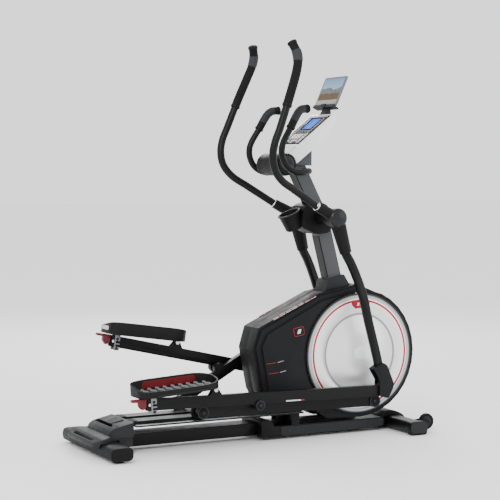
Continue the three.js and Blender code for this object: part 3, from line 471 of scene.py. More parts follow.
@dataclass(frozen=True)
class RibbedFoam(Finish):
    """Dark foam or rubber with fine ribs across one direction."""

    pitch: float = 3.2
    direction: Point3 = (0.0, 0.0, 1.0)

    def height_of(self, graph: Graph) -> object:
        """The grain with the ribs added.

        Args:
            graph: the material's graph.

        Returns:
            The height's socket.
        """
        run = graph.along((0.0, 0.0, 0.0), self.direction)
        ribs = graph.math("SINE", graph.math("MULTIPLY", run, 2 * math.pi / self.pitch))
        return graph.math("ADD", graph.math("MULTIPLY", ribs, 0.5), graph.noise(self.grain, 2.0))


BLACK_PAINT = Finish(
    "black_powder_paint", "frame_paint", (0.0034, 0.0035, 0.0039), 0.4, 1400, 0.04, 0.3, 0.25, 0, 0.04
)
GREY_PAINT = Finish("grey_powder_paint", "mast_paint", (0.062, 0.064, 0.068), 0.46, 1400, 0.04, 0.3, 0.2)
CHARCOAL = Finish("charcoal_moulding", "housing", (0.0072, 0.0075, 0.0083), 0.54, 1700, 0.05, 0.4, 0.25)
SLATE = Finish("slate_moulding", "housing", (0.018, 0.0185, 0.02), 0.5, 1500, 0.05, 0.4, 0.25)
BLACK_MOULDING = Finish(
    "black_moulding", "black_plastic", (0.0036, 0.0036, 0.004), 0.5, 1700, 0.05, 0.4, 0.25
)
DOME_GLOSS = Finish(
    "grey_cap_gloss", "black_plastic", (0.01, 0.0103, 0.0113), 0.3, 500, 0.02, 0.1, 0.2, 0, 0.15
)
WHITE_SHELL = Finish(
    "white_shell", "white_plastic", (0.76, 0.77, 0.78), 0.3, 900, 0.02, 0.15, 0.1, 0, 0.2, 0.45
)
PALE_GREY = Finish(
    "pale_grey_moulding", "white_plastic", (0.36, 0.37, 0.39), 0.4, 900, 0.03, 0.2, 0.15, 0, 0, 0.4
)
STEEL = BrushedMetal("brushed_steel", "steel", (0.42, 0.43, 0.45), 0.34, 900, 0.02, 0.3)
BRACKET_STEEL = BrushedMetal("bracket_steel", "steel", (0.2, 0.205, 0.215), 0.36, 900, 0.02, 0.3)
CHROME = BrushedMetal("bright_chrome", "chrome", (0.78, 0.79, 0.81), 0.1, 500, 0.01, 0.06)
DARK_BOLT = Finish("dark_bolt", "steel", (0.035, 0.035, 0.038), 0.34, 700, 0.03, 0.3, 0.4, 0.8)
RUBBER = Finish("black_rubber", "rubber", (0.004, 0.004, 0.0043), 0.62, 700, 0.1, 0.5, 0.3)
FOAM = RibbedFoam("grip_foam_black", "grip_foam", (0.0042, 0.0042, 0.0045), 0.66, 1300, 0.25, 0.55, 0.25)
PAD_GREY = RibbedFoam(
    "grip_pad_grey", "grip_foam", (0.03, 0.0305, 0.033), 0.6, 900, 0.5, 0.8, 0.3, pitch=5.0
)
RED_MOULDING = Finish(
    "red_moulding", "red_plastic", (0.105, 0.003, 0.006), 0.38, 900, 0.03, 0.25, 0.2, 0, 0.05, 0.3
)
RED_TRIM = Finish("red_trim", "disc_face", (0.27, 0.003, 0.012), 0.36, 900, 0.01, 0.1, 0.1, 0, 0, 0.3)
PALE_TRIM = Finish("pale_trim", "disc_face", (0.6, 0.6, 0.61), 0.4, 900, 0.01, 0.1, 0.1)
PEDAL_BLACK = Finish("pedal_black", "pedal_shell", (0.005, 0.005, 0.0055), 0.5, 1300, 0.06, 0.5, 0.3)
PEDAL_MAT = Finish("pedal_mat_grey", "pedal_shell", (0.012, 0.0122, 0.013), 0.58, 800, 0.12, 0.6, 0.4)
PEDAL_RIBS = Finish("pedal_rib_grey", "pedal_shell", (0.16, 0.162, 0.17), 0.5, 800, 0.08, 0.5, 0.4)
SILVER_TRIM = BrushedMetal("silver_trim", "chrome", (0.66, 0.67, 0.68), 0.28, 700, 0.02, 0.2)
PANEL_BLACK = Finish("panel_black", "panel", (0.003, 0.003, 0.0034), 0.5, 500, 0.01, 0.08, 0.1, 0, 0, 0.05)
KEY_PALE = Finish("key_pale", "white_plastic", (0.17, 0.175, 0.185), 0.42, 900, 0.02, 0.2, 0.15)
KEY_GREY = Finish("key_grey", "panel", (0.075, 0.078, 0.082), 0.42, 900, 0.02, 0.2, 0.15)
TABLET_CASE = Finish("tablet_case", "tablet_case", (0.022, 0.023, 0.025), 0.28, 700, 0.01, 0.1, 0.2, 0, 0.1)
DISC_HUB = Finish("disc_hub_satin", "disc_face", (0.78, 0.785, 0.8), 0.4, 900, 0.01, 0.1, 0.0, 0, 0, 0.35)
DISC_FACE = RingedFace(
    "ringed_disc_face", "disc_face", (0.85, 0.855, 0.865), 0.3, 1500, 0.008, 0.18, 0.0, 0.6
)


# ---------------------------------------------------------------- shapes
def seat(x: float = 0.0, z: float = 0.0, turn: float = 0.0, within: Optional[Matrix] = None) -> Matrix:
    """Where a sub-assembly sits, in millimetres.

    Args:
        x: forward.
        z: up.
        turn: degrees in the side plane, from +X towards +Z.
        within: the seat that this one is measured in.

    Returns:
        The seat's matrix.
    """
    local = Matrix.Translation((x, 0.0, z)) @ Matrix.Rotation(math.radians(-turn), 4, "Y")
    return (within if within is not None else Matrix.Identity(4)) @ local


def half_of(side: Side) -> Matrix:
    """The matrix that puts a piece drawn on +Y onto its side."""
    return Matrix.Diagonal((1.0, -1.0 if side.mirrored else 1.0, 1.0, 1.0))


def shift(x: float, y: float, z: float) -> Matrix:
    """The matrix that moves a piece."""
    return Matrix.Translation((x, y, z))


def oblong(a: Point2, b: Point2) -> list[Point2]:
    """The four corners of a rectangle.

    Args:
        a: lowest and highest value of the first coordinate.
        b: lowest and highest value of the second coordinate.

    Returns:
        The corners in order.
    """
    return [(a[0], b[0]), (a[1], b[0]), (a[1], b[1]), (a[0], b[1])]


def prism(
    points: Sequence[Point2], low: float, high: float, corner: float = 0.0, along: Along = Along.Y
) -> bmesh.types.BMesh:
    """A flat outline extruded along an axis.

    Args:
        points: the outline in X and Z for Along.Y, or in X and Y for Along.Z.
        low: where it starts.
        high: where it ends.
        corner: the radius that rounds every corner.
        along: the axis.

    Returns:
        The closed solid.
    """
    bm = bmesh.new()
    spots = [(a, low, b) if along is Along.Y else (a, b, low) for a, b in points]
    bm.faces.new([bm.verts.new(spot) for spot in spots])
    if corner:
        bmesh.ops.bevel(
            bm, geom=list(bm.verts), offset=corner, offset_type="OFFSET", affect="VERTICES",
            segments=4, profile=0.5, material=-1,
        )
    made = bmesh.ops.extrude_face_region(bm, geom=list(bm.faces))
    lift = (0.0, high - low, 0.0) if along is Along.Y else (0.0, 0.0, high - low)
    bmesh.ops.translate(bm, vec=lift, verts=[v for v in made["geom"] if isinstance(v, bmesh.types.BMVert)])
    return bm


def block(x: Point2, y: Point2, z: Point2) -> bmesh.types.BMesh:
    """A box between two values on each axis.

    Args:
        x: lowest and highest X.
        y: lowest and highest Y.
        z: lowest and highest Z.

    Returns:
        The solid.
    """
    bm = bmesh.new()
    bmesh.ops.create_cube(bm, size=1.0)
    bmesh.ops.scale(bm, vec=(x[1] - x[0], y[1] - y[0], z[1] - z[0]), verts=bm.verts)
    bmesh.ops.translate(bm, vec=(sum(x) / 2, sum(y) / 2, sum(z) / 2), verts=bm.verts)
    return bm


def turned(
    profile: Sequence[Point2], steps: int = 48, along: Along = Along.Y, ring: bool = False
) -> bmesh.types.BMesh:
    """A profile spun round an axis through the origin.

    Args:
        profile: radius and place along the axis, point by point.
        steps: facets in the circle.
        along: the axis.
        ring: join the last point to the first, for a ring.

    Returns:
        The solid.
    """
    bm = bmesh.new()
    verts = [bm.verts.new((r, a, 0.0) if along is Along.Y else (r, 0.0, a)) for r, a in profile]
    pairs = list(zip(verts, verts[1:] + (verts[:1] if ring else [])))
    edges = [bm.edges.new(pair) for pair in pairs]
    axis = (0.0, 1.0, 0.0) if along is Along.Y else (0.0, 0.0, 1.0)
    bmesh.ops.spin(
        bm, geom=verts + edges, cent=(0, 0, 0), axis=axis, angle=2 * math.pi, steps=steps, use_merge=True,
    )
    bmesh.ops.remove_doubles(bm, verts=bm.verts, dist=WELD_SHAPE)
    return bm


def moved(bm: bmesh.types.BMesh, matrix: Matrix) -> bmesh.types.BMesh:
    """The same solid, moved."""
    bmesh.ops.transform(bm, matrix=matrix, verts=bm.verts)
    return bm


def facing(at: Point3, direction: Sequence[float]) -> Matrix:
    """A matrix that carries +Z onto a direction at a point.

    Args:
        at: the point.
        direction: where +Z goes.

    Returns:
        The matrix.
    """
    return Matrix.Translation(at) @ Vector(direction).to_track_quat("Z", "Y").to_matrix().to_4x4()


def joined(*parts: bmesh.types.BMesh) -> bmesh.types.BMesh:
    """Several solids as one mesh.

    Args:
        parts: the solids, which are used up.

    Returns:
        One mesh that holds them all.
    """
    whole = bmesh.new()
    for part in parts:
        carrier = bpy.data.meshes.new("carrier")
        part.to_mesh(carrier)
        part.free()
        whole.from_mesh(carrier)
        bpy.data.meshes.remove(carrier)
    return whole


def smooth_path(points: Sequence[Point3], steps: int = PATH_STEPS) -> list[Vector]:
    """A smooth line through points.

    Args:
        points: what the line passes through.
        steps: points in each stretch.

    Returns:
        The line's points.
    """
    spots = [Vector(point) for point in points]
    ends = [spots[0] * 2 - spots[1], *spots, spots[-1] * 2 - spots[-2]]
    line: list[Vector] = []
    for before, start, stop, after in zip(ends, ends[1:], ends[2:], ends[3:]):
        reach = (stop - start).length / 3
        first = start + (stop - before).normalized() * reach
        second = stop - (after - start).normalized() * reach
        line += interpolate_bezier(start, first, second, stop, steps)[:-1]
    return [*line, spots[-1]]


def swept(
    line: Sequence[Vector], radius: float, swell: Optional[Sequence[float]] = None
) -> bmesh.types.BMesh:
    """A round bar along a line.

    Args:
        line: the bar's middle.
        radius: the bar's radius.
        swell: how much each point's radius is multiplied.

    Returns:
        The solid.
    """
    curve = bpy.data.curves.new("bar", "CURVE")
    curve.dimensions = "3D"
    curve.bevel_depth = radius
    curve.bevel_resolution = 5
    curve.use_fill_caps = True
    spline = curve.splines.new("POLY")
    spline.points.add(len(line) - 1)
    for index, spot in enumerate(line):
        spline.points[index].co = (*spot, 1.0)
        spline.points[index].radius = swell[index] if swell else 1.0
    holder = bpy.data.objects.new("bar", curve)
    mesh = bpy.data.meshes.new_from_object(holder)
    bm = bmesh.new()
    bm.from_mesh(mesh)
    bpy.data.objects.remove(holder)
    bpy.data.curves.remove(curve)
    bpy.data.meshes.remove(mesh)
    bmesh.ops.remove_doubles(bm, verts=bm.verts, dist=WELD_BAR)
    return bm


def bolt(
    at: Point3, direction: Sequence[float], radius: float = 7.0, height: float = 4.0
) -> bmesh.types.BMesh:
    """A domed bolt head with a round socket, on a washer.

    Args:
        at: the middle of the washer's underside.
        direction: where the head points.
        radius: the head's radius.
        height: the head's height.

    Returns:
        The solid.
    """
    r, h = radius, height
    head = turned(
        [
            (0, 0), (r * 1.45, 0), (r * 1.45, h * 0.25), (r, h * 0.3), (r, h * 0.7), (r * 0.8, h),
            (r * 0.5, h)
        ],
        24, Along.Z,
    )
    rim = [edge for edge in head.edges if edge.is_boundary]
    made = bmesh.ops.extrude_edge_only(head, edges=rim)
    inner = [item for item in made["geom"] if isinstance(item, bmesh.types.BMVert)]
    bmesh.ops.translate(head, vec=(0, 0, -h * 0.45), verts=inner)
    bmesh.ops.contextual_create(head, geom=[e for e in made["geom"] if isinstance(e, bmesh.types.BMEdge)])
    return moved(head, facing(at, direction))


@dataclass
class Shop:
    """Makes finished objects from solids and from the frame's own nodes."""

    nodes: dict
    made: list = field(default_factory=list)

    def finish(self, name: str, bm: bmesh.types.BMesh, body: str, finish: Finish, at: Optional[Matrix] = None,
               bevel: float = 0.0, segments: int = 2, sharp: float = 38.0,
               stands_for: Sequence[str] = ()) -> bpy.types.Object:
        """Turns a solid into a finished piece that rides on a body.

        Args:
            name: the piece's name.
            bm: the solid in millimetres, which is used up.
            body: the body it rides on.
            finish: its finish.
            at: the seat that it is drawn in.
            bevel: width of its rounded edges in millimetres.
            segments: facets across a rounded edge.
            sharp: edges over this many degrees are rounded or kept crisp.
            stands_for: nodes that it takes the place of.

        Returns:
            The object.
        """
        moved(bm, Matrix.Scale(MM, 4) @ (at if at is not None else Matrix.Identity(4)))
        bmesh.ops.recalc_face_normals(bm, faces=list(bm.faces))
        mesh = bpy.data.meshes.new(name)
        bm.to_mesh(mesh)
        bm.free()
        return self.present(name, mesh, body, finish, bevel, segments, sharp, stands_for)

    def present(self, name: str, mesh: bpy.types.Mesh, body: str, finish: Finish, bevel: float, segments: int,
                sharp: float, stands_for: Sequence[str]) -> bpy.types.Object:
        """Links, shades, dresses and seats a mesh.

        Args:
            name: the piece's name.
            mesh: its mesh in metres.
            body: the body it rides on.
            finish: its finish.
            bevel: width of its rounded edges in millimetres.
            segments: facets across a rounded edge.
            sharp: the angle that counts as an edge, in degrees.
            stands_for: nodes that it takes the place of.

        Returns:
            The object.
        """
        obj = bpy.data.objects.new(name, mesh)
        bpy.context.scene.collection.objects.link(obj)
        mesh.shade_smooth()
        mesh.materials.clear()
        mesh.materials.append(finish.material())
        if bevel:
            edge = obj.modifiers.new("rounded_edges", "BEVEL")
            edge.width = bevel * MM
            edge.segments = segments
            edge.limit_method = "ANGLE"
            edge.angle_limit = math.radians(sharp)
            edge.harden_normals = True
        else:
            mesh.set_sharp_from_angle(angle=math.radians(sharp))
        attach(obj, body)
        if stands_for:
            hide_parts(*stands_for)
        self.made.append(name)
        return obj

    def soften(self, node: str, body: str, finish: Finish, bevel: float = 1.5, sharp: float = 38.0,
               segments: int = 2) -> bpy.types.Object:
        """A copy of a node with its flat faces merged and its edges rounded.

        Args:
            node: the node's name.
            body: the body it rides on.
            finish: its finish.
            bevel: width of its rounded edges in millimetres.
            sharp: the angle that counts as an edge, in degrees.
            segments: facets across a rounded edge.

        Returns:
            The piece that stands for the node.
        """
        bm = bmesh.new()
        bm.from_mesh(self.nodes[node].data)
        bmesh.ops.remove_doubles(bm, verts=bm.verts, dist=WELD_METRES)
        bmesh.ops.dissolve_limit(bm, angle_limit=math.radians(FLAT_DEGREES), verts=bm.verts, edges=bm.edges)
        mesh = bpy.data.meshes.new(node + "_finished")
        bm.to_mesh(mesh)
        bm.free()
        return self.present(node + "_finished", mesh, body, finish, bevel, segments, sharp, (node,))

    def dress(self, finish: Finish, *names: str) -> None:
        """Gives frame nodes a finish.

        Args:
            finish: the finish.
            names: the nodes.
        """
        for name in names:
            materials = self.nodes[name].data.materials
            materials.clear()
            materials.append(finish.material())


# ---------------------------------------------------------------- base
@dataclass
class RearEnd:
    """Rear cross tube, its cover and its levelling feet."""

    bar_x: float = -748.0
    bar_z: float = 38.0
    half: float = 291.0

    def build(self, shop: Shop) -> None:
        """Builds the rear end.

        Args:
            shop: where pieces are made.
        """
        shop.soften("rear_stabilizer", "frame", CHARCOAL, 6.0, segments=3)
        shop.soften("rear_base_tube", "frame", BLACK_PAINT, 3.0)
        shop.soften("rear_cover", "frame", SLATE, 2.2)
        for side in Side:
            half = half_of(side)
            plug = prism(oblong((-46, 46), (-24, 24)), self.half - 1, self.half + 2.5, 16)
            shop.finish(
                f"{side.value}_rear_end_cap", moved(plug, shift(self.bar_x, 0, self.bar_z)),
                "frame", BLACK_MOULDING, half, 1.2,
            )
            foot = turned(
                [(0, 0), (21, 0), (22, 3), (22, 7), (18, 9), (6, 10), (6, 27), (0, 27)], 32, Along.Z
            )
            shop.finish(
                f"{side.value}_foot_pad", moved(foot, shift(self.bar_x, 246, 0)),
                f"{side.value}_levelling_foot", RUBBER, half, stands_for=(f"{side.value}_levelling_foot",),
            )
        tongue = prism([(-700, -30), (-640, -44), (-640, 44), (-700, 30)], 124, 131.5, 8, Along.Z)
        tilt = shift(-640, 0, 139) @ Matrix.Rotation(math.radians(-14), 4, "Y")
        shop.finish(
            "rear_cover_tongue", moved(tongue, tilt @ shift(640, 0, -131)),
            "frame", CHARCOAL, None, 1.5,
        )
        screws = joined(*[bolt((-738, y, 89), (0, 0, 1), 4.5, 2.5) for y in (-136, 136)])
        shop.finish("rear_cover_screws", screws, "frame", DARK_BOLT)


@dataclass
class Rails:
    """The two roller rails with their running strips and rear stops."""

    inner: float = 26.0
    outer: float = 100.0
    top: float = 138.0
    start: float = -627.0
    front: float = 188.0

    def build(self, shop: Shop) -> None:
        """Builds the rails.

        Args:
            shop: where pieces are made.
        """
        for side in Side:
            shop.soften(f"{side.value}_rail", "frame", BLACK_PAINT, 1.6, segments=3)
            strip = block((self.start + 6, self.front - 4), (self.outer + 3, 138), (124.4, 125.0))
            shop.finish(f"{side.value}_running_strip", strip, "frame", STEEL, half_of(side))
            lip = prism(
                oblong((self.inner + 3, self.outer - 3), (self.start + 2, self.start + 30)),
                self.top, self.top + 1.0, 5, Along.Z,
            )
            swap = Matrix(((0, 1, 0, 0), (1, 0, 0, 0), (0, 0, 1, 0), (0, 0, 0, 1)))
            shop.finish(f"{side.value}_rail_stop", moved(lip, swap), "frame", RUBBER, half_of(side), 0.4)


@dataclass
class FrontEnd:
    """Base moulding, front cross tube and transport wheels."""

    bar_x: float = 705.0
    bar_z: float = 33.0
    half: float = 290.0
    wheel_x: float = 788.0
    wheel_z: float = 47.0
    wheel_radius: float = 38.0
    wheel_centre: float = 220.0

    def build(self, shop: Shop) -> None:
        """Builds the front end.

        Args:
            shop: where pieces are made.
        """
        shop.soften("main_base", "frame", BLACK_PAINT, 3.0, segments=3)
        shop.soften("front_stabilizer", "frame", BLACK_PAINT, 1.5)
        for side in Side:
            half = half_of(side)
            plate = prism([(96, 17), (575, 17), (632, 24), (632, 56), (90, 58)], 100.2, 102.4, 5)
            shop.finish(f"{side.value}_base_plate", plate, "frame", SLATE, half, 0.8)
            pair = [bolt((x, 102.3, 36), (0, 1, 0), 6.5, 2.6) for x in (135.0, 560.0)]
            shop.finish(f"{side.value}_base_bolts", joined(*pair), "frame", DARK_BOLT, half)
            cap = prism(oblong((-45, 45), (-24, 27)), self.half - 1, self.half + 3, 18)
            shop.finish(
                f"{side.value}_front_end_cap", moved(cap, shift(self.bar_x, 0, self.bar_z)),
                "frame", SLATE, half, 1.6,
            )
            self.wheel(shop, side)

    def wheel(self, shop: Shop, side: Side) -> None:
        """One transport wheel with a rounded tyre and a turned hub.

        Args:
            shop: where pieces are made.
            side: its side.
        """
        r = self.wheel_radius
        body = f"{side.value}_transport_wheel"
        at = half_of(side) @ shift(self.wheel_x, self.wheel_centre, self.wheel_z)
        tyre = turned(
            [(r - 11, -9), (r - 3, -11), (r - 0.8, -7), (r, 0), (r - 0.8, 7), (r - 3, 11), (r - 11, 9)],
            40, ring=True,
        )
        shop.finish(f"{side.value}_wheel_tyre", tyre, body, RUBBER, at, stands_for=(body,))
        hub = turned(
            [
                (6.5, -12), (12, -12), (13, -7), (r - 13, -6), (r - 10.9, -8.6), (r - 10.9, 8.6),
                (r - 13, 6), (13, 7), (12, 12), (6.5, 12)
            ],
            40, ring=True,
        )
        shop.finish(f"{side.value}_wheel_hub", hub, body, SLATE, at, 0.4)


# ---------------------------------------------------------------- housing and drive
@dataclass
class Housing:
    """The two shroud halves with their trim, and the boot round the mast."""

    half: float = 100.0
    ridge_dashes: int = 7
    ridge_filled: float = 0.86

    def build(self, shop: Shop) -> None:
        """Builds the housing.

        Args:
            shop: where pieces are made.
        """
        shop.soften("mast_boot", "frame", SLATE, 4.0, segments=3)
        for side in Side:
            half = half_of(side)
            shop.soften(f"{side.value}_shroud", "frame", CHARCOAL, 2.5, 24.0, 2)
            self.trim(shop, side, half)

    def trim(self, shop: Shop, side: Side, half: Matrix) -> None:
        """Badge, dashes and a dark ring round the disc.

        Args:
            shop: where pieces are made.
            side: the side.
            half: the matrix that puts a piece on its side.
        """
        name = side.value
        face = self.half
        ring = turned(oblong((279, 283.5), (face - 12, face + 1.8)), 96, ring=True)
        rim = moved(ring, shift(CRANK_X, 0, CRANK_Z))
        shop.finish(f"{name}_disc_surround", rim, "frame", BLACK_MOULDING, half, 0.8)
        lean = shift(184, 0, 482) @ Matrix.Rotation(math.radians(-10), 4, "Y")
        plate = prism(oblong((-27, 27), (-20, 20)), face, face + 1.2, 9)
        shop.finish(f"{name}_badge_outline", moved(plate, lean), "frame", RED_TRIM, half, 0.4)
        ground = prism(oblong((-24.5, 24.5), (-17.5, 17.5)), face + 1.0, face + 1.8, 7)
        shop.finish(f"{name}_badge_ground", moved(ground, lean), "frame", CHARCOAL, half, 0.2)
        mark = prism([(-11, -9), (5, -9), (13, 9), (-3, 9)], face + 1.6, face + 2.3, 2)
        shop.finish(f"{name}_badge_mark", moved(mark, lean), "frame", PALE_TRIM, half, 0.2)
        for index, (x, z) in enumerate(((22.0, 345.0), (34.0, 300.0))):
            slope = shift(x, 0, z) @ Matrix.Rotation(math.radians(-4), 4, "Y")
            dash = prism(oblong((-2, 46), (-1.1, 1.1)), face - 0.4, face + 0.7, 0.8)
            shop.finish(f"{name}_dash_red_{index}", moved(dash, slope), "frame", RED_TRIM, half)
            light = prism([(54, -1), (84, 3), (84, 5), (54, 1)], face - 0.4, face + 0.7)
            shop.finish(f"{name}_dash_light_{index}", moved(light, slope), "frame", PALE_GREY, half)
        start, stop = Vector((70.0, 0.0, 538.0)), Vector((292.0, 0.0, 637.0))
        run = stop - start
        angle = math.degrees(math.atan2(run.z, run.x))
        for finish, offset, low, high in ((RED_TRIM, 2.4, 71.0, 72.2), (PALE_TRIM, -1.2, 72.0, 73.2)):
            parts = []
            for step in range(self.ridge_dashes):
                at = start + run * (step / self.ridge_dashes)
                reach = run.length / self.ridge_dashes * self.ridge_filled
                dash = block((0, reach), (low - 6, high), (offset - 0.8, offset + 0.8))
                parts.append(moved(dash, seat(at.x, at.z, angle)))
            label = "red" if finish is RED_TRIM else "pale"
            shop.finish(f"{name}_ridge_{label}", joined(*parts), "frame", finish, half)


@dataclass
class Drive:
    """Crank discs, crank arms, belt, pulley and flywheel."""

    inner: float = 100.0
    radius: float = 277.0
    thickness: float = 8.0
    right_angle: float = -77.3
    throw: float = 221.0

    def build(self, shop: Shop) -> None:
        """Builds the drive.

        Args:
            shop: where pieces are made.
        """
        shop.dress(STEEL, "crank_axle", "brake_magnet")
        shop.dress(BLACK_MOULDING, "crank_pulley")
        shop.dress(RUBBER, "drive_belt")
        shop.dress(STEEL, "flywheel")
        for side in Side:
            shop.soften(f"{side.value}_crank_arm", "crank", STEEL, 1.5)
            self.disc(shop, side)

    def disc(self, shop: Shop, side: Side) -> None:
        """One disc with its groove, red tab, pale marks, hub and pin collar.

        Args:
            shop: where pieces are made.
            side: its side.
        """
        at = half_of(side) @ shift(CRANK_X, 0, CRANK_Z)
        face = self.inner + self.thickness
        r = self.radius
        profile = [
            (13, self.inner + 0.4), (r - 1.5, self.inner + 0.4), (r, self.inner + 2), (r, face - 1.5),
            (r - 3, face),
            (r - 6, face - 0.4), (r - 9, face - 1.2), (254, face - 1.2), (252, face - 0.4), (184, face),
            (182.5, face - 1.6), (177, face - 1.6), (175.5, face), (60, face + 0.6), (13, face + 0.8),
        ]
        disc = turned(profile, 128, ring=True)
        shop.finish(f"{side.value}_disc_face", disc, "crank", DISC_FACE, at, 0, sharp=50,
                    stands_for=(f"{side.value}_crank_disc",))
        tab = prism(
            [(-44, 226), (-26, 206), (52, 210), (52, 242), (0, 246), (-46, 240)], face - 0.6, face + 0.5, 3
        )
        shop.finish(f"{side.value}_disc_tab", tab, "crank", RED_TRIM, at, 0.2)
        marks = [
            prism(
                [(-16 + i * 16, 219), (-5 + i * 16, 219), (-2 + i * 16, 233), (-13 + i * 16, 233)],
                face + 0.4, face + 0.8
            )
            for i in range(3)
        ]
        shop.finish(f"{side.value}_disc_marks", joined(*marks), "crank", PALE_TRIM, at)
        hub = turned(
            [(0, face), (30, face), (30, face + 3), (26, face + 5), (9, face + 6), (0, face + 5)], 48
        )
        shop.finish(f"{side.value}_disc_hub", hub, "crank", DISC_HUB, at, 0.5)
        turn = math.radians(self.right_angle + (0 if side.mirrored else 180))
        pin = (self.throw * math.cos(turn), self.throw * math.sin(turn))
        collar = turned(
            [(14.5, face - 1), (30, face - 1), (30, face + 4), (26, face + 6), (14.5, face + 6)], 36,
            ring=True
        )
        shop.finish(
            f"{side.value}_pin_collar", moved(collar, shift(pin[0], 0, pin[1])), "crank",
            BLACK_MOULDING, at, 0.6,
        )


# ---------------------------------------------------------------- stride
@dataclass(frozen=True)
class StridePose:
    """Where one side's linkage stands at rest: points in millimetres, turns in degrees."""

    roller: Point2
    link_turn: float
    pivot: Point2
    arm_turn: float
    swing_turn: float


POSES = {
    Side.RIGHT: StridePose((-320.862, 160.9), -0.627, (-67.015, 182.123), 3.6388, 1.591),
    Side.LEFT: StridePose((-308.696, 160.9), 29.085, (-98.741, 305.149), -8.4857, -1.173),
}


@dataclass
class RollerLink:
    """The long link from the crank pin to its rail roller."""

    side: Side
    length: float = 867.5
    inner: float = 131.0
    width: float = 28.0
    pivot: Point2 = (253.6, 24.0)

    def build(self, shop: Shop) -> None:
        """Builds the link and its roller.

        Args:
            shop: where pieces are made.
        """
        pose = POSES[self.side]
        at = seat(*pose.roller, pose.link_turn, half_of(self.side))
        name = self.side.value
        body = f"{name}_link"
        shop.soften(f"{name}_link", body, BLACK_PAINT, 2.4, 40, 3)
        outer = self.inner + self.width
        for label, x, z, y, size, rise in (
            ("rear", 0.0, 0.0, outer + 5, 26.0, 7.0), ("front", self.length, 0.0, outer + 5, 28.0, 2.2),
            ("middle", *self.pivot, 210.0, 22.0, 7.0),
        ):
            move = shift(x, 0, z)
            cap = turned(
                [(0, y), (size - 4, y), (size - 4, y + rise / 2), (size - 8, y + rise - 1), (7, y + rise),
                 (0, y + rise - 1)],
                40,
            )
            shop.finish(f"{name}_{label}_pivot_cap", moved(cap, move), body, BLACK_MOULDING, at, 0.5)
            ring = turned(
                [(size - 4, y - 0.4), (size, y - 0.4), (size, y + 1.8), (size - 4, y + 2.4)], 40, ring=True
            )
            shop.finish(f"{name}_{label}_pivot_ring", moved(ring, move), body, DARK_BOLT, at, 0.3)
            head = bolt((x, y + rise - 1, z), (0, 1, 0), 5.0, rise / 2)
            shop.finish(f"{name}_{label}_pivot_bolt", head, body, DARK_BOLT, at)
        tyre = turned(
            [(22, 106.5), (33, 106.5), (36, 110), (36, 122), (33, 125.5), (22, 125.5)], 48, ring=True,
        )
        roller = f"{name}_roller"
        shop.finish(f"{name}_roller_tyre", tyre, roller, RUBBER, at, 0.8, stands_for=(roller,))
        core = turned(
            [(8.5, 103.2), (19, 103.2), (21.8, 107), (21.8, 125), (19, 128.8), (8.5, 128.8)], 40, ring=True,
        )
        shop.finish(f"{name}_roller_core", core, roller, CHROME, at, 0.6)


@dataclass
class PedalArm:
    """The tube that carries a footplate, with its hinge and its release lever."""

    side: Side
    tail: float = 532.0
    rise: float = 30.5
    droop: float = 4.5
    inner: float = 177.0
    outer: float = 203.0
    hinge: Point2 = (-212.0, 78.0)

    def seat(self) -> Matrix:
        """The tube's own seat, level with its underside."""
        pose = POSES[self.side]
        return seat(0, 0, -self.droop, seat(*pose.pivot, pose.arm_turn, half_of(self.side)))

    def build(self, shop: Shop) -> None:
        """Builds the arm.

        Args:
            shop: where pieces are made.
        """
        name = self.side.value
        at = self.seat()
        body = f"{name}_pedal_arm"
        shop.soften(f"{name}_pedal_arm", body, BLACK_PAINT, 2.6, 40, 3)
        shop.soften(f"{name}_release_lever", f"{name}_release_lever", RED_MOULDING, 1.6, 38, 3)
        heads = [bolt((self.hinge[0], y, self.hinge[1]), (0, way, 0), 6.0, 4.0)
                 for y, way in ((self.inner, -1), (self.outer, 1))]
        heads += [bolt((-self.tail + 12, y, self.rise), (0, way, 0), 4.5, 2.5)
                  for y, way in ((self.inner, -1), (self.outer, 1))]
        shop.finish(f"{name}_arm_bolts", joined(*heads), body, CHROME, at)
        label = block((130, 205), (self.outer, self.outer + 0.5), (9, 14))
        shop.finish(f"{name}_arm_mark", label, body, PALE_TRIM, at)
        tick = block((208, 222), (self.outer, self.outer + 0.5), (9, 14))
        shop.finish(f"{name}_arm_tick", tick, body, RED_TRIM, at)
        Footplate(self.side, seat(*self.hinge, 4.5, at)).build(shop)


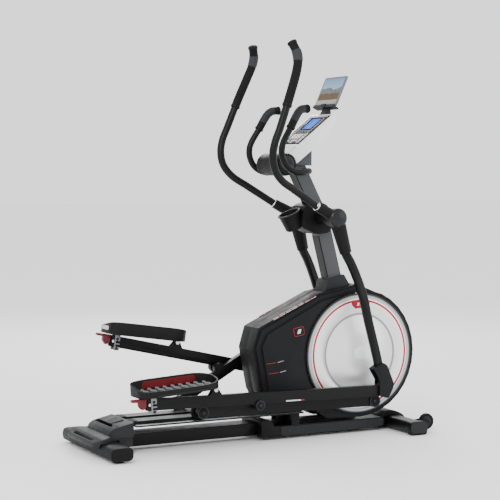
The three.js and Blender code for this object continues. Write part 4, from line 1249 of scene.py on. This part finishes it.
@dataclass
class Footplate:
    """A footplate with a ribbed mat, a raised inner wall and its bracket."""

    side: Side
    at: Matrix
    heel: float = -362.0
    toe: float = 20.0
    low: float = 83.0
    high: float = 247.0
    floor: float = 24.0
    ribs: int = 9
    rib_radius: float = 4.6
    rib_rise: float = 1.7
    rib_wave: float = 5.0
    rib_steps: int = 18

    def build(self, shop: Shop) -> None:
        """Builds the footplate.

        Args:
            shop: where pieces are made.
        """
        name = self.side.value
        body = f"{name}_pedal"
        shop.soften(f"{name}_pedal", body, PEDAL_BLACK, 1.8, 30, 3)
        shop.soften(f"{name}_pedal_bracket", body, BRACKET_STEEL, 0.8)
        self.mat(shop, name, body)
        wall = prism(
            [(self.heel + 60, self.floor + 4), (self.toe - 62, self.floor + 4),
             (self.toe - 70, self.floor + 36), (self.heel + 70, self.floor + 36)],
            self.low + 8.6, self.low + 11.2, 6,
        )
        shop.finish(f"{name}_inner_wall", wall, body, RED_MOULDING, self.at, 0.6)
        edge = block(
            (self.heel + 80, self.toe - 66), (self.high - 11.4, self.high - 9.0),
            (self.floor + 2, self.floor + 9)
        )
        shop.finish(f"{name}_outer_edge", edge, body, RED_MOULDING, self.at, 0.6)
        band = prism([(self.heel + 66, 12), (self.toe - 70, 12), (self.toe - 76, 20), (self.heel + 72, 20)],
                     self.high - 0.6, self.high + 1.0, 3)
        shop.finish(f"{name}_outer_band", band, body, PEDAL_MAT, self.at, 0.4)
        heel = prism(oblong((self.heel - 1.5, self.heel + 3), (128, 202)), 26, 44, 0, Along.Z)
        shop.finish(
            f"{name}_heel_trim", heel, body, SILVER_TRIM if self.side is Side.LEFT else PEDAL_MAT, self.at,
            1.2
        )
        heads = [bolt((self.heel + 67, y, z), (0, way, 0), 4.6, 3.0)
                 for y, way in ((170.5, -1), (209.5, 1)) for z in (-12.0, -54.0)]
        shop.finish(f"{name}_bracket_bolts", joined(*heads), body, DARK_BOLT, self.at)

    def mat(self, shop: Shop, name: str, body: str) -> None:
        """The grey mat with wavy raised ribs across it.

        Args:
            shop: where pieces are made.
            name: the side's name.
            body: the body that it rides on.
        """
        x0, x1 = self.heel + 24, self.toe - 16
        y0, y1 = self.low + 18, self.high - 18
        base = prism([(x0, y0 + 12), (x0 + 22, y0), (x1 - 30, y0), (x1, y0 + 24),
                      (x1, y1 - 24), (x1 - 30, y1), (x0 + 22, y1), (x0, y1 - 12)],
                     self.floor, self.floor + 1.6, 8, Along.Z)
        shop.finish(f"{name}_foot_mat", base, body, PEDAL_MAT, self.at, 0.5)
        parts = []
        for index in range(self.ribs):
            x = x0 + 26 + index * (x1 - x0 - 52) / (self.ribs - 1)
            inset = 14 if index in (0, self.ribs - 1) else 4
            count = self.rib_steps
            line = [
                Vector((x + self.rib_wave * math.sin(step / count * 4 * math.pi),
                        y0 + inset + (y1 - y0 - 2 * inset) * step / count,
                        self.floor + 1.4))
                for step in range(count + 1)
            ]
            bar = swept(line, self.rib_radius)
            bmesh.ops.scale(
                bar, vec=(1, 1, self.rib_rise), verts=bar.verts,
                space=shift(0, 0, -self.floor - 1.4)
            )
            parts.append(bar)
        shop.finish(f"{name}_mat_ribs", joined(*parts), body, PEDAL_RIBS, self.at)


@dataclass
class SwingArm:
    """Hub, handlebar, grip, lower tube and joint cover of one side."""

    side: Side
    pivot: Point2 = HUB
    bar_radius: float = 17.0
    grip_radius: float = 20.0
    path: tuple[Point3, ...] = (
        (-70, 199, 36), (-150, 215, 85), (-235, 233, 137), (-300, 248, 178), (-340, 262, 228),
        (-352, 270, 287), (-342, 275, 345), (-319, 277, 400), (-268, 272, 530), (-226, 262, 635),
        (-208, 250, 690), (-206, 238, 730), (-220, 222, 774),
    )
    grip_from: int = 7
    pad_span: tuple[int, int] = (-19, -7)
    pad_swell: float = 1.10

    def build(self, shop: Shop) -> None:
        """Builds the swing arm.

        Args:
            shop: where pieces are made.
        """
        name = self.side.value
        body = f"{name}_swing_arm"
        at = seat(*self.pivot, POSES[self.side].swing_turn, half_of(self.side))
        shop.soften(f"{name}_lower_arm", body, BLACK_PAINT, 1.2, 50)
        shop.soften(f"{name}_arm_hub", body, BLACK_MOULDING, 2.0, 34, 3)
        shop.soften(f"{name}_joint_cover", body, CHARCOAL, 3.0, 30, 3)
        line = smooth_path(self.path)
        shop.finish(f"{name}_bar", swept(line, self.bar_radius), body, BLACK_PAINT, at,
                    stands_for=(f"{name}_handlebar",))
        self.grip(shop, name, body, at, line[self.grip_from * PATH_STEPS:])
        self.hub(shop, name, body, at)

    def grip(self, shop: Shop, name: str, body: str, at: Matrix, line: list[Vector]) -> None:
        """The foam grip with its collar, ridged pad and end cap.

        Args:
            shop: where pieces are made.
            name: the side's name.
            body: the body that it rides on.
            at: the arm's seat.
            line: the grip's middle.
        """
        r = self.grip_radius
        shop.finish(f"{name}_foam_grip", swept(line, r), body, FOAM, at, stands_for=(f"{name}_hand_grip",))
        way = line[1] - line[0]
        collar = turned(
            [(17.2, -6), (20.6, -6), (21.6, -3), (21.6, 5), (20.2, 8), (17.2, 8)], 36, Along.Z, ring=True
        )
        shop.finish(
            f"{name}_grip_collar", moved(collar, facing(line[0], way)), body, BLACK_MOULDING, at, 0.8
        )
        pad = line[slice(*self.pad_span)]
        swell = [self.pad_swell if 1 <= step <= len(pad) - 2 else 1.0 for step in range(len(pad))]
        shop.finish(f"{name}_grip_pad", swept(pad, r, swell), body, PAD_GREY, at)
        end = (line[-1] - line[-2]).normalized()
        cap = turned([(0, -8), (21.5, -8), (22.5, -3), (22, 3), (17, 6.5), (8, 8.5), (0, 9)], 36, Along.Z)
        shop.finish(f"{name}_grip_cap", moved(cap, facing(line[-1], end)), body, BLACK_MOULDING, at)

    def hub(self, shop: Shop, name: str, body: str, at: Matrix) -> None:
        """The pivot's domed cap, the clamp ring and its bolt.

        Args:
            shop: where pieces are made.
            name: the side's name.
            body: the body that it rides on.
            at: the arm's seat.
        """
        dome = turned(
            [(43.6, 208), (44.4, 211), (43.6, 215), (39, 221), (30, 226), (16, 229.5), (0, 230.5)], 56,
        )
        rim = [edge for edge in dome.edges if edge.is_boundary]
        bmesh.ops.contextual_create(dome, geom=rim)
        shop.finish(f"{name}_hub_dome", dome, body, DOME_GLOSS, at, 0, sharp=60)
        seam = turned([(42.8, 202), (44.6, 203), (44.6, 206), (42.8, 207)], 56, ring=True)
        shop.finish(f"{name}_hub_seam", seam, body, SLATE, at)
        start, stop = Vector((-100, 204.5, 55)), Vector((-128, 210.5, 71.5))
        ring = turned(
            [(17.4, 0), (20.4, 0), (21.2, 1.5), (21.2, 7), (20.4, 8.5), (17.4, 8.5)], 40, Along.Z, ring=True
        )
        shop.finish(f"{name}_clamp_ring", moved(ring, facing(start, stop - start)), body, CHROME, at, 0.6)
        head = bolt((-110, 232, 62), (0, 1, 0), 5.5, 5.0)
        shop.finish(f"{name}_clamp_bolt", head, body, CHROME, at)


# ---------------------------------------------------------------- mast and console
@dataclass
class Mast:
    """Mast, neck, bottle holder and fixed grips."""

    knee: Point2 = (336.0, 1000.0)
    foot: Point2 = (428.0, 640.0)
    top: Point2 = (213.0, 1236.0)
    half: float = 37.0
    grip_path: tuple[Point3, ...] = (
        (247, 31, 1200), (247, 44, 1200), (246, 58, 1200), (236, 88, 1200), (218, 125, 1201),
        (176, 149, 1197), (130, 156, 1199), (88, 157, 1226), (66, 157, 1272), (70, 156, 1320),
        (112, 151, 1393), (150, 146, 1456), (172, 141, 1474), (206, 134, 1478),
    )
    sleeve_from: int = 9 * PATH_STEPS
    plate_span: tuple[int, int] = (94, 112)

    def edge(self, z: float, offset: float) -> Point2:
        """A point of the mast's rear or front edge.

        Args:
            z: its height.
            offset: how far in front of the mast's middle it is.

        Returns:
            X and Z.
        """
        low, high = (self.foot, self.knee) if z < self.knee[1] else (self.knee, self.top)
        return low[0] + (z - low[1]) * (high[0] - low[0]) / (high[1] - low[1]) + offset, z

    def build(self, shop: Shop) -> None:
        """Builds the mast.

        Args:
            shop: where pieces are made.
        """
        shop.soften("mast", "frame", GREY_PAINT, 4.0, 30, 3)
        shop.dress(BLACK_PAINT, "main_frame")
        shop.soften("console_neck", "frame", GREY_PAINT, 3.0, 38, 3)
        shop.soften("bottle_holder", "frame", BLACK_MOULDING, 2.2, 32, 3)
        for label, low, high in (("lower", 712.0, 905.0), ("upper", 1052.0, 1232.0)):
            rear = [self.edge(low, -self.half - 1.2), self.edge(high, -self.half - 1.2)]
            front = [self.edge(high, -self.half + 5), self.edge(low, -self.half + 5)]
            strip = prism([*rear, *front], -30.6, 30.6)
            shop.finish(f"mast_{label}_rear_strip", strip, "frame", BLACK_PAINT, None, 2.0)
        rim = turned(
            [(45.5, -3), (54.2, -3), (55, 0), (53, 3.2), (47, 3.2), (45.2, 1)], 64, Along.Z, ring=True
        )
        shop.finish("bottle_holder_rim", rim, "frame", SLATE,
                    seat(0, 78.5, 0, seat(219, 939, 24)), 0.5)
        sleeve = turned(oblong((30.2, 31.4), (57, 108)), 48, ring=True)
        for side in Side:
            at = half_of(side) @ shift(HUB[0], 0, HUB[1])
            shop.finish(f"{side.value}_cross_tube_sleeve", sleeve.copy(), "frame", BLACK_PAINT, at)
            self.grip(shop, side)
        sleeve.free()

    def grip(self, shop: Shop, side: Side) -> None:
        """One fixed grip: its bar, its sleeve, its contact plates and its tip.

        Args:
            shop: where pieces are made.
            side: its side.
        """
        name, at = side.value, half_of(side)
        line = smooth_path(self.grip_path)
        shop.finish(f"{name}_fixed_bar", swept(line, 14.5), "frame", BLACK_PAINT, at,
                    stands_for=(f"{name}_grip_bar",))
        sleeve = line[self.sleeve_from:]
        shop.finish(f"{name}_pulse_sleeve", swept(sleeve, 18.2), "frame", FOAM, at,
                    stands_for=(f"{name}_pulse_grip",))
        plate = line[slice(*self.plate_span)]
        shop.finish(f"{name}_pulse_plate", swept(plate, 18.7), "frame", SLATE, at)
        end = (line[-1] - line[-2]).normalized()
        cap = turned([(0, -6), (19.4, -6), (20, -2), (19, 3), (12, 6.5), (0, 7.5)], 32, Along.Z)
        shop.finish(f"{name}_pulse_cap", moved(cap, facing(line[-1], end)), "frame", BLACK_MOULDING, at)
        collar = turned([(14.8, -5), (19, -5), (20, -2), (20, 4), (14.8, 6)], 32, Along.Z, ring=True)
        shop.finish(f"{name}_pulse_collar", moved(collar, facing(sleeve[0], sleeve[1] - sleeve[0])), "frame",
                    BLACK_MOULDING, at, 0.6)


@dataclass
class Console:
    """Console shell, panel, readout, keys and barrel."""

    low: Point2 = (108.0, 1262.0)
    tilt: float = 38.0
    length: float = 320.0
    half: float = 102.0

    def build(self, shop: Shop) -> None:
        """Builds the console.

        Args:
            shop: where pieces are made.
        """
        at = seat(*self.low, self.tilt)
        shop.soften("console_body", "frame", WHITE_SHELL, 5.0, 30, 4)
        shop.soften("console_panel", "frame", PANEL_BLACK, 1.0, 38)
        self.readout(shop, at)
        self.keys(shop, at)
        self.barrel(shop, at)
        lines = []
        for x in (28.0, 62.0):
            lines.append(block((x, x + 1.6), (-self.half + 7, self.half - 7), (0, 0.8)))
        shop.finish("console_seams", joined(*lines), "frame", PALE_GREY, at)
        lower = prism(
            [(14, -self.half + 12), (90, -self.half + 16), (90, self.half - 16), (14, self.half - 12)], 0.1,
            1.0, 9, Along.Z
        )
        shop.finish("console_lower_face", lower, "frame", PALE_GREY, at, 0.4)

    def readout(self, shop: Shop, at: Matrix) -> None:
        """The lit readout in its recess, its frame and the accents round it.

        Args:
            shop: where pieces are made.
            at: the console's seat.
        """
        L = self.length
        up = (math.cos(math.radians(self.tilt)), 0.0, math.sin(math.radians(self.tilt)))
        origin = at @ Vector((L - 112, 0, 0))
        lit = LitDisplay("blue_readout", "panel", (0.003, 0.09, 0.55), 0.55, 900, 0.01, 0.05, 0.0,
                         shine=0.04, origin=tuple(origin), up=up, glow=0.45)
        glass = prism(oblong((L - 110, L - 32), (-44, 44)), -0.9, 0.4, 3, Along.Z)
        shop.finish("readout_glass", glass, "frame", lit, at)
        frame = []
        for x0, x1, y0, y1 in ((L - 116, L - 111, -50, 50), (L - 31, L - 26, -50, 50),
                               (L - 111, L - 31, -50, -45), (L - 111, L - 31, 45, 50)):
            frame.append(block((x0, x1), (y0, y1), (1.4, 3.4)))
        shop.finish("readout_frame", joined(*frame), "frame", PANEL_BLACK, at, 0.5)
        accent = prism([(L - 24, -84), (L - 17, -78), (L - 17, 78), (L - 24, 84)], 1.4, 2.6, 2, Along.Z)
        shop.finish("panel_accent", accent, "frame", RED_TRIM, at, 0.3)
        sides = [prism([(L - 150, s * 62), (L - 30, s * 58), (L - 30, s * 60), (L - 150, s * 64)],
                       1.4, 2.2, 0, Along.Z)
                 for s in (-1, 1)]
        shop.finish("panel_side_lines", joined(*sides), "frame", PALE_TRIM, at)

    def keys(self, shop: Shop, at: Matrix) -> None:
        """The key rows, the two big keys and the pale plates beside them.

        Args:
            shop: where pieces are made.
            at: the console's seat.
        """
        plates = [
            prism(
                [(100, s * 54), (172, s * 54), (172, s * 82), (104, s * 82)], 1.4, 2.4, 4, Along.Z
            ) for s in (-1, 1)
        ]
        plates.append(prism(oblong((134, 172), (-48, 48)), 1.4, 2.4, 4, Along.Z))
        plates.append(prism(oblong((104, 131), (-14, 14)), 1.4, 2.4, 3, Along.Z))
        shop.finish("keypad_plates", joined(*plates), "frame", KEY_PALE, at, 0.4)
        small = []
        for x in (180.0, 190.0):
            for column in range(9):
                y = -64 + column * 16
                small.append(block((x, x + 6), (y, y + 10), (1.4, 3.0)))
        shop.finish("small_keys", joined(*small), "frame", KEY_GREY, at, 0.6)
        pads = []
        for s in (-1, 1):
            for x in (108.0, 124.0, 140.0, 156.0):
                y0, y1 = sorted((s * 58, s * 78))
                pads.append(block((x, x + 11), (y0, y1), (2.3, 3.6)))
        for y in (-42.0, -14.0, 14.0):
            pads.append(block((140, 152), (y, y + 24), (2.3, 3.6)))
            pads.append(block((156, 168), (y, y + 24), (2.3, 3.6)))
        shop.finish("keypad_keys", joined(*pads), "frame", PALE_GREY, at, 0.8)
        for name, y, finish in (("start", 34.0, KEY_PALE), ("stop", -34.0, RED_MOULDING)):
            key = prism(oblong((112.2, 127.8), (y - 13.8, y + 13.8)), -1.5, 3.9, 4, Along.Z)
            shop.finish(
                f"{name}_key_cap", key, f"{name}_key", finish, at, 0.9, 3, stands_for=(f"{name}_key",)
            )

    def barrel(self, shop: Shop, at: Matrix) -> None:
        """The round barrel at the console's foot with its end rings.

        Args:
            shop: where pieces are made.
            at: the console's seat.
        """
        move = shift(-10, 0, -32)
        body = turned(
            [(0, -100), (44, -100), (49, -97), (50, -92), (50, 92), (49, 97), (44, 100), (0, 100)], 72
        )
        shop.finish(
            "barrel_shell", moved(body, move), "frame", BLACK_MOULDING, at, 0,
            stands_for=("console_barrel",)
        )
        for side in Side:
            cap = turned(
                [(0, 99.6), (38, 99.6), (38, 101.4), (34, 102.2), (14, 102.2), (12, 101.4), (0, 101.4)], 56
            )
            flip = half_of(side)
            shop.finish(
                f"{side.value}_barrel_cap", moved(moved(cap, flip), move), "frame", DOME_GLOSS, at, 0.4
            )
        ribs = [
            turned(
                [(49.6, y), (51, y + 0.6), (51, y + 2.4), (49.6, y + 3)], 56, ring=True
            ) for y in (-84, 81)
        ]
        shop.finish("barrel_ribs", moved(joined(*ribs), move), "frame", SLATE, at)


@dataclass
class TabletRest:
    """The rack with its clip and ribs, and a tablet standing in it."""

    foot: Point2 = (378.0, 1492.0)
    lean: float = 24.6
    height: float = 151.0
    half: float = 98.0

    def build(self, shop: Shop) -> None:
        """Builds the rest and the tablet.

        Args:
            shop: where pieces are made.
        """
        at = seat(*self.foot, 90 - self.lean)
        shop.soften("tablet_rack", "frame", SLATE, 1.4, 38, 3)
        clip = block((-8.5, 9), (-20, 20), (10.5, 19))
        shop.finish("tray_clip", clip, "frame", BLACK_MOULDING, at, 1.5, 3)
        grip = [block((-8.6, -7.6), (y, y + 4), (-10, 14)) for y in range(-80, 84, 12)]
        shop.finish("tray_ribs", joined(*grip), "frame", BLACK_MOULDING, at)
        case = prism(oblong((1, self.height), (-self.half, self.half)), 0.4, 8.4, 9, Along.Z)
        shop.finish("tablet_shell", case, "tablet", TABLET_CASE, at, 1.6, 3, stands_for=("tablet",))
        turn = math.radians(90 - self.lean)
        up = (math.cos(turn), 0.0, math.sin(turn))
        origin = at @ Vector((12, 0, 8.5))
        picture = LitLandscape("tablet_picture", "tablet_case", (0.3, 0.3, 0.3), 0.5,
                               900, 0.005, 0.02, 0.0, shine=0.05,
                               origin=tuple(origin), up=up, height=self.height - 22, glow=0.15)
        edge = self.half - 11
        screen = prism(oblong((12, self.height - 10), (-edge, edge)), 8.3, 8.75, 2, Along.Z)
        shop.finish("tablet_screen", screen, "tablet", picture, at)
        lens = turned([(0, 0), (2.6, 0), (2.6, 0.6), (0, 0.6)], 20, Along.Z)
        shop.finish(
            "tablet_lens", moved(lens, shift(self.height - 5, 0, 8.3)), "tablet",
            PANEL_BLACK, at
        )


# ---------------------------------------------------------------- studio
@dataclass
class Studio:
    """A pale floor, soft lights and the camera."""

    eye: Point3 = (-3.028, -5.902, 1.220)
    heading: float = 27.07
    dip: float = 3.206
    lens: float = 106.8
    floor_colour: Colour = (0.96, 0.96, 0.96)
    floor_size: float = 40.0
    floor_drop: float = 0.0006
    sky: float = 1.6
    sensor: float = 36.0
    lit: Point3 = (0.0, 0.0, 0.7)

    def build(self) -> None:
        """Builds the studio."""
        self.floor()
        self.lights()
        self.camera()

    def floor(self) -> None:
        """A wide plain floor that isn't part of the machine."""
        bm = bmesh.new()
        bmesh.ops.create_grid(bm, x_segments=1, y_segments=1, size=self.floor_size)
        bmesh.ops.translate(bm, vec=(0, 0, -self.floor_drop), verts=bm.verts)
        mesh = bpy.data.meshes.new("studio_floor")
        bm.to_mesh(mesh)
        bm.free()
        floor = bpy.data.objects.new("studio_floor", mesh)
        bpy.context.scene.collection.objects.link(floor)
        graph = Graph("studio_floor")
        tone = graph.blend(
            graph.noise(2.0, 2.0), self.floor_colour, tuple(v * 0.985 for v in self.floor_colour)
        )
        graph.put(graph.shader.inputs["Base Color"], tone)
        graph.set(Roughness=0.75)
        mesh.materials.append(graph.material)

    def lights(self) -> None:
        """A bright even sky with three large soft panels."""
        world = bpy.data.worlds.new("studio")
        bpy.context.scene.world = world
        world.use_nodes = True
        background = world.node_tree.nodes["Background"]
        background.inputs["Color"].default_value = (1.0, 1.0, 1.0, 1.0)
        background.inputs["Strength"].default_value = self.sky
        for name, at, power, size in (
            ("key", (-3.2, -3.4, 3.6), 170.0, 2.6),
            ("fill", (3.8, -3.6, 2.2), 60.0, 3.0),
            ("rim", (1.5, 4.2, 3.4), 120.0, 2.4),
        ):
            data = bpy.data.lights.new(name, "AREA")
            data.energy = power
            data.size = size
            lamp = bpy.data.objects.new(name, data)
            lamp.location = at
            aim = Vector(self.lit) - Vector(at)
            lamp.rotation_mode = "QUATERNION"
            lamp.rotation_quaternion = aim.to_track_quat("-Z", "Y")
            bpy.context.scene.collection.objects.link(lamp)

    def camera(self) -> None:
        """The camera, on the right of the machine and a little behind it."""
        data = bpy.data.cameras.new("camera")
        data.lens = self.lens
        data.sensor_width = self.sensor
        camera = bpy.data.objects.new("camera", data)
        turn, dip = math.radians(self.heading), math.radians(self.dip)
        way = Vector((math.sin(turn) * math.cos(dip), math.cos(turn) * math.cos(dip), -math.sin(dip)))
        camera.location = self.eye
        camera.rotation_mode = "QUATERNION"
        camera.rotation_quaternion = way.to_track_quat("-Z", "Y")
        bpy.context.scene.collection.objects.link(camera)
        bpy.context.scene.camera = camera


def main() -> None:
    """Builds every sub-assembly round the frame."""
    logging.basicConfig(level=logging.INFO, format="%(name)s: %(message)s")
    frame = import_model()
    Studio().build()
    shop = Shop(frame["nodes"])
    assemblies: list = [RearEnd(), Rails(), FrontEnd(), Housing(), Drive()]
    for side in Side:
        assemblies += [RollerLink(side), PedalArm(side), SwingArm(side)]
    assemblies += [Mast(), Console(), TabletRest()]
    for assembly in assemblies:
        before = len(shop.made)
        assembly.build(shop)
        LOG.info("%s: %s", type(assembly).__name__, ", ".join(shop.made[before:]))


if __name__ == "__main__":
    main()
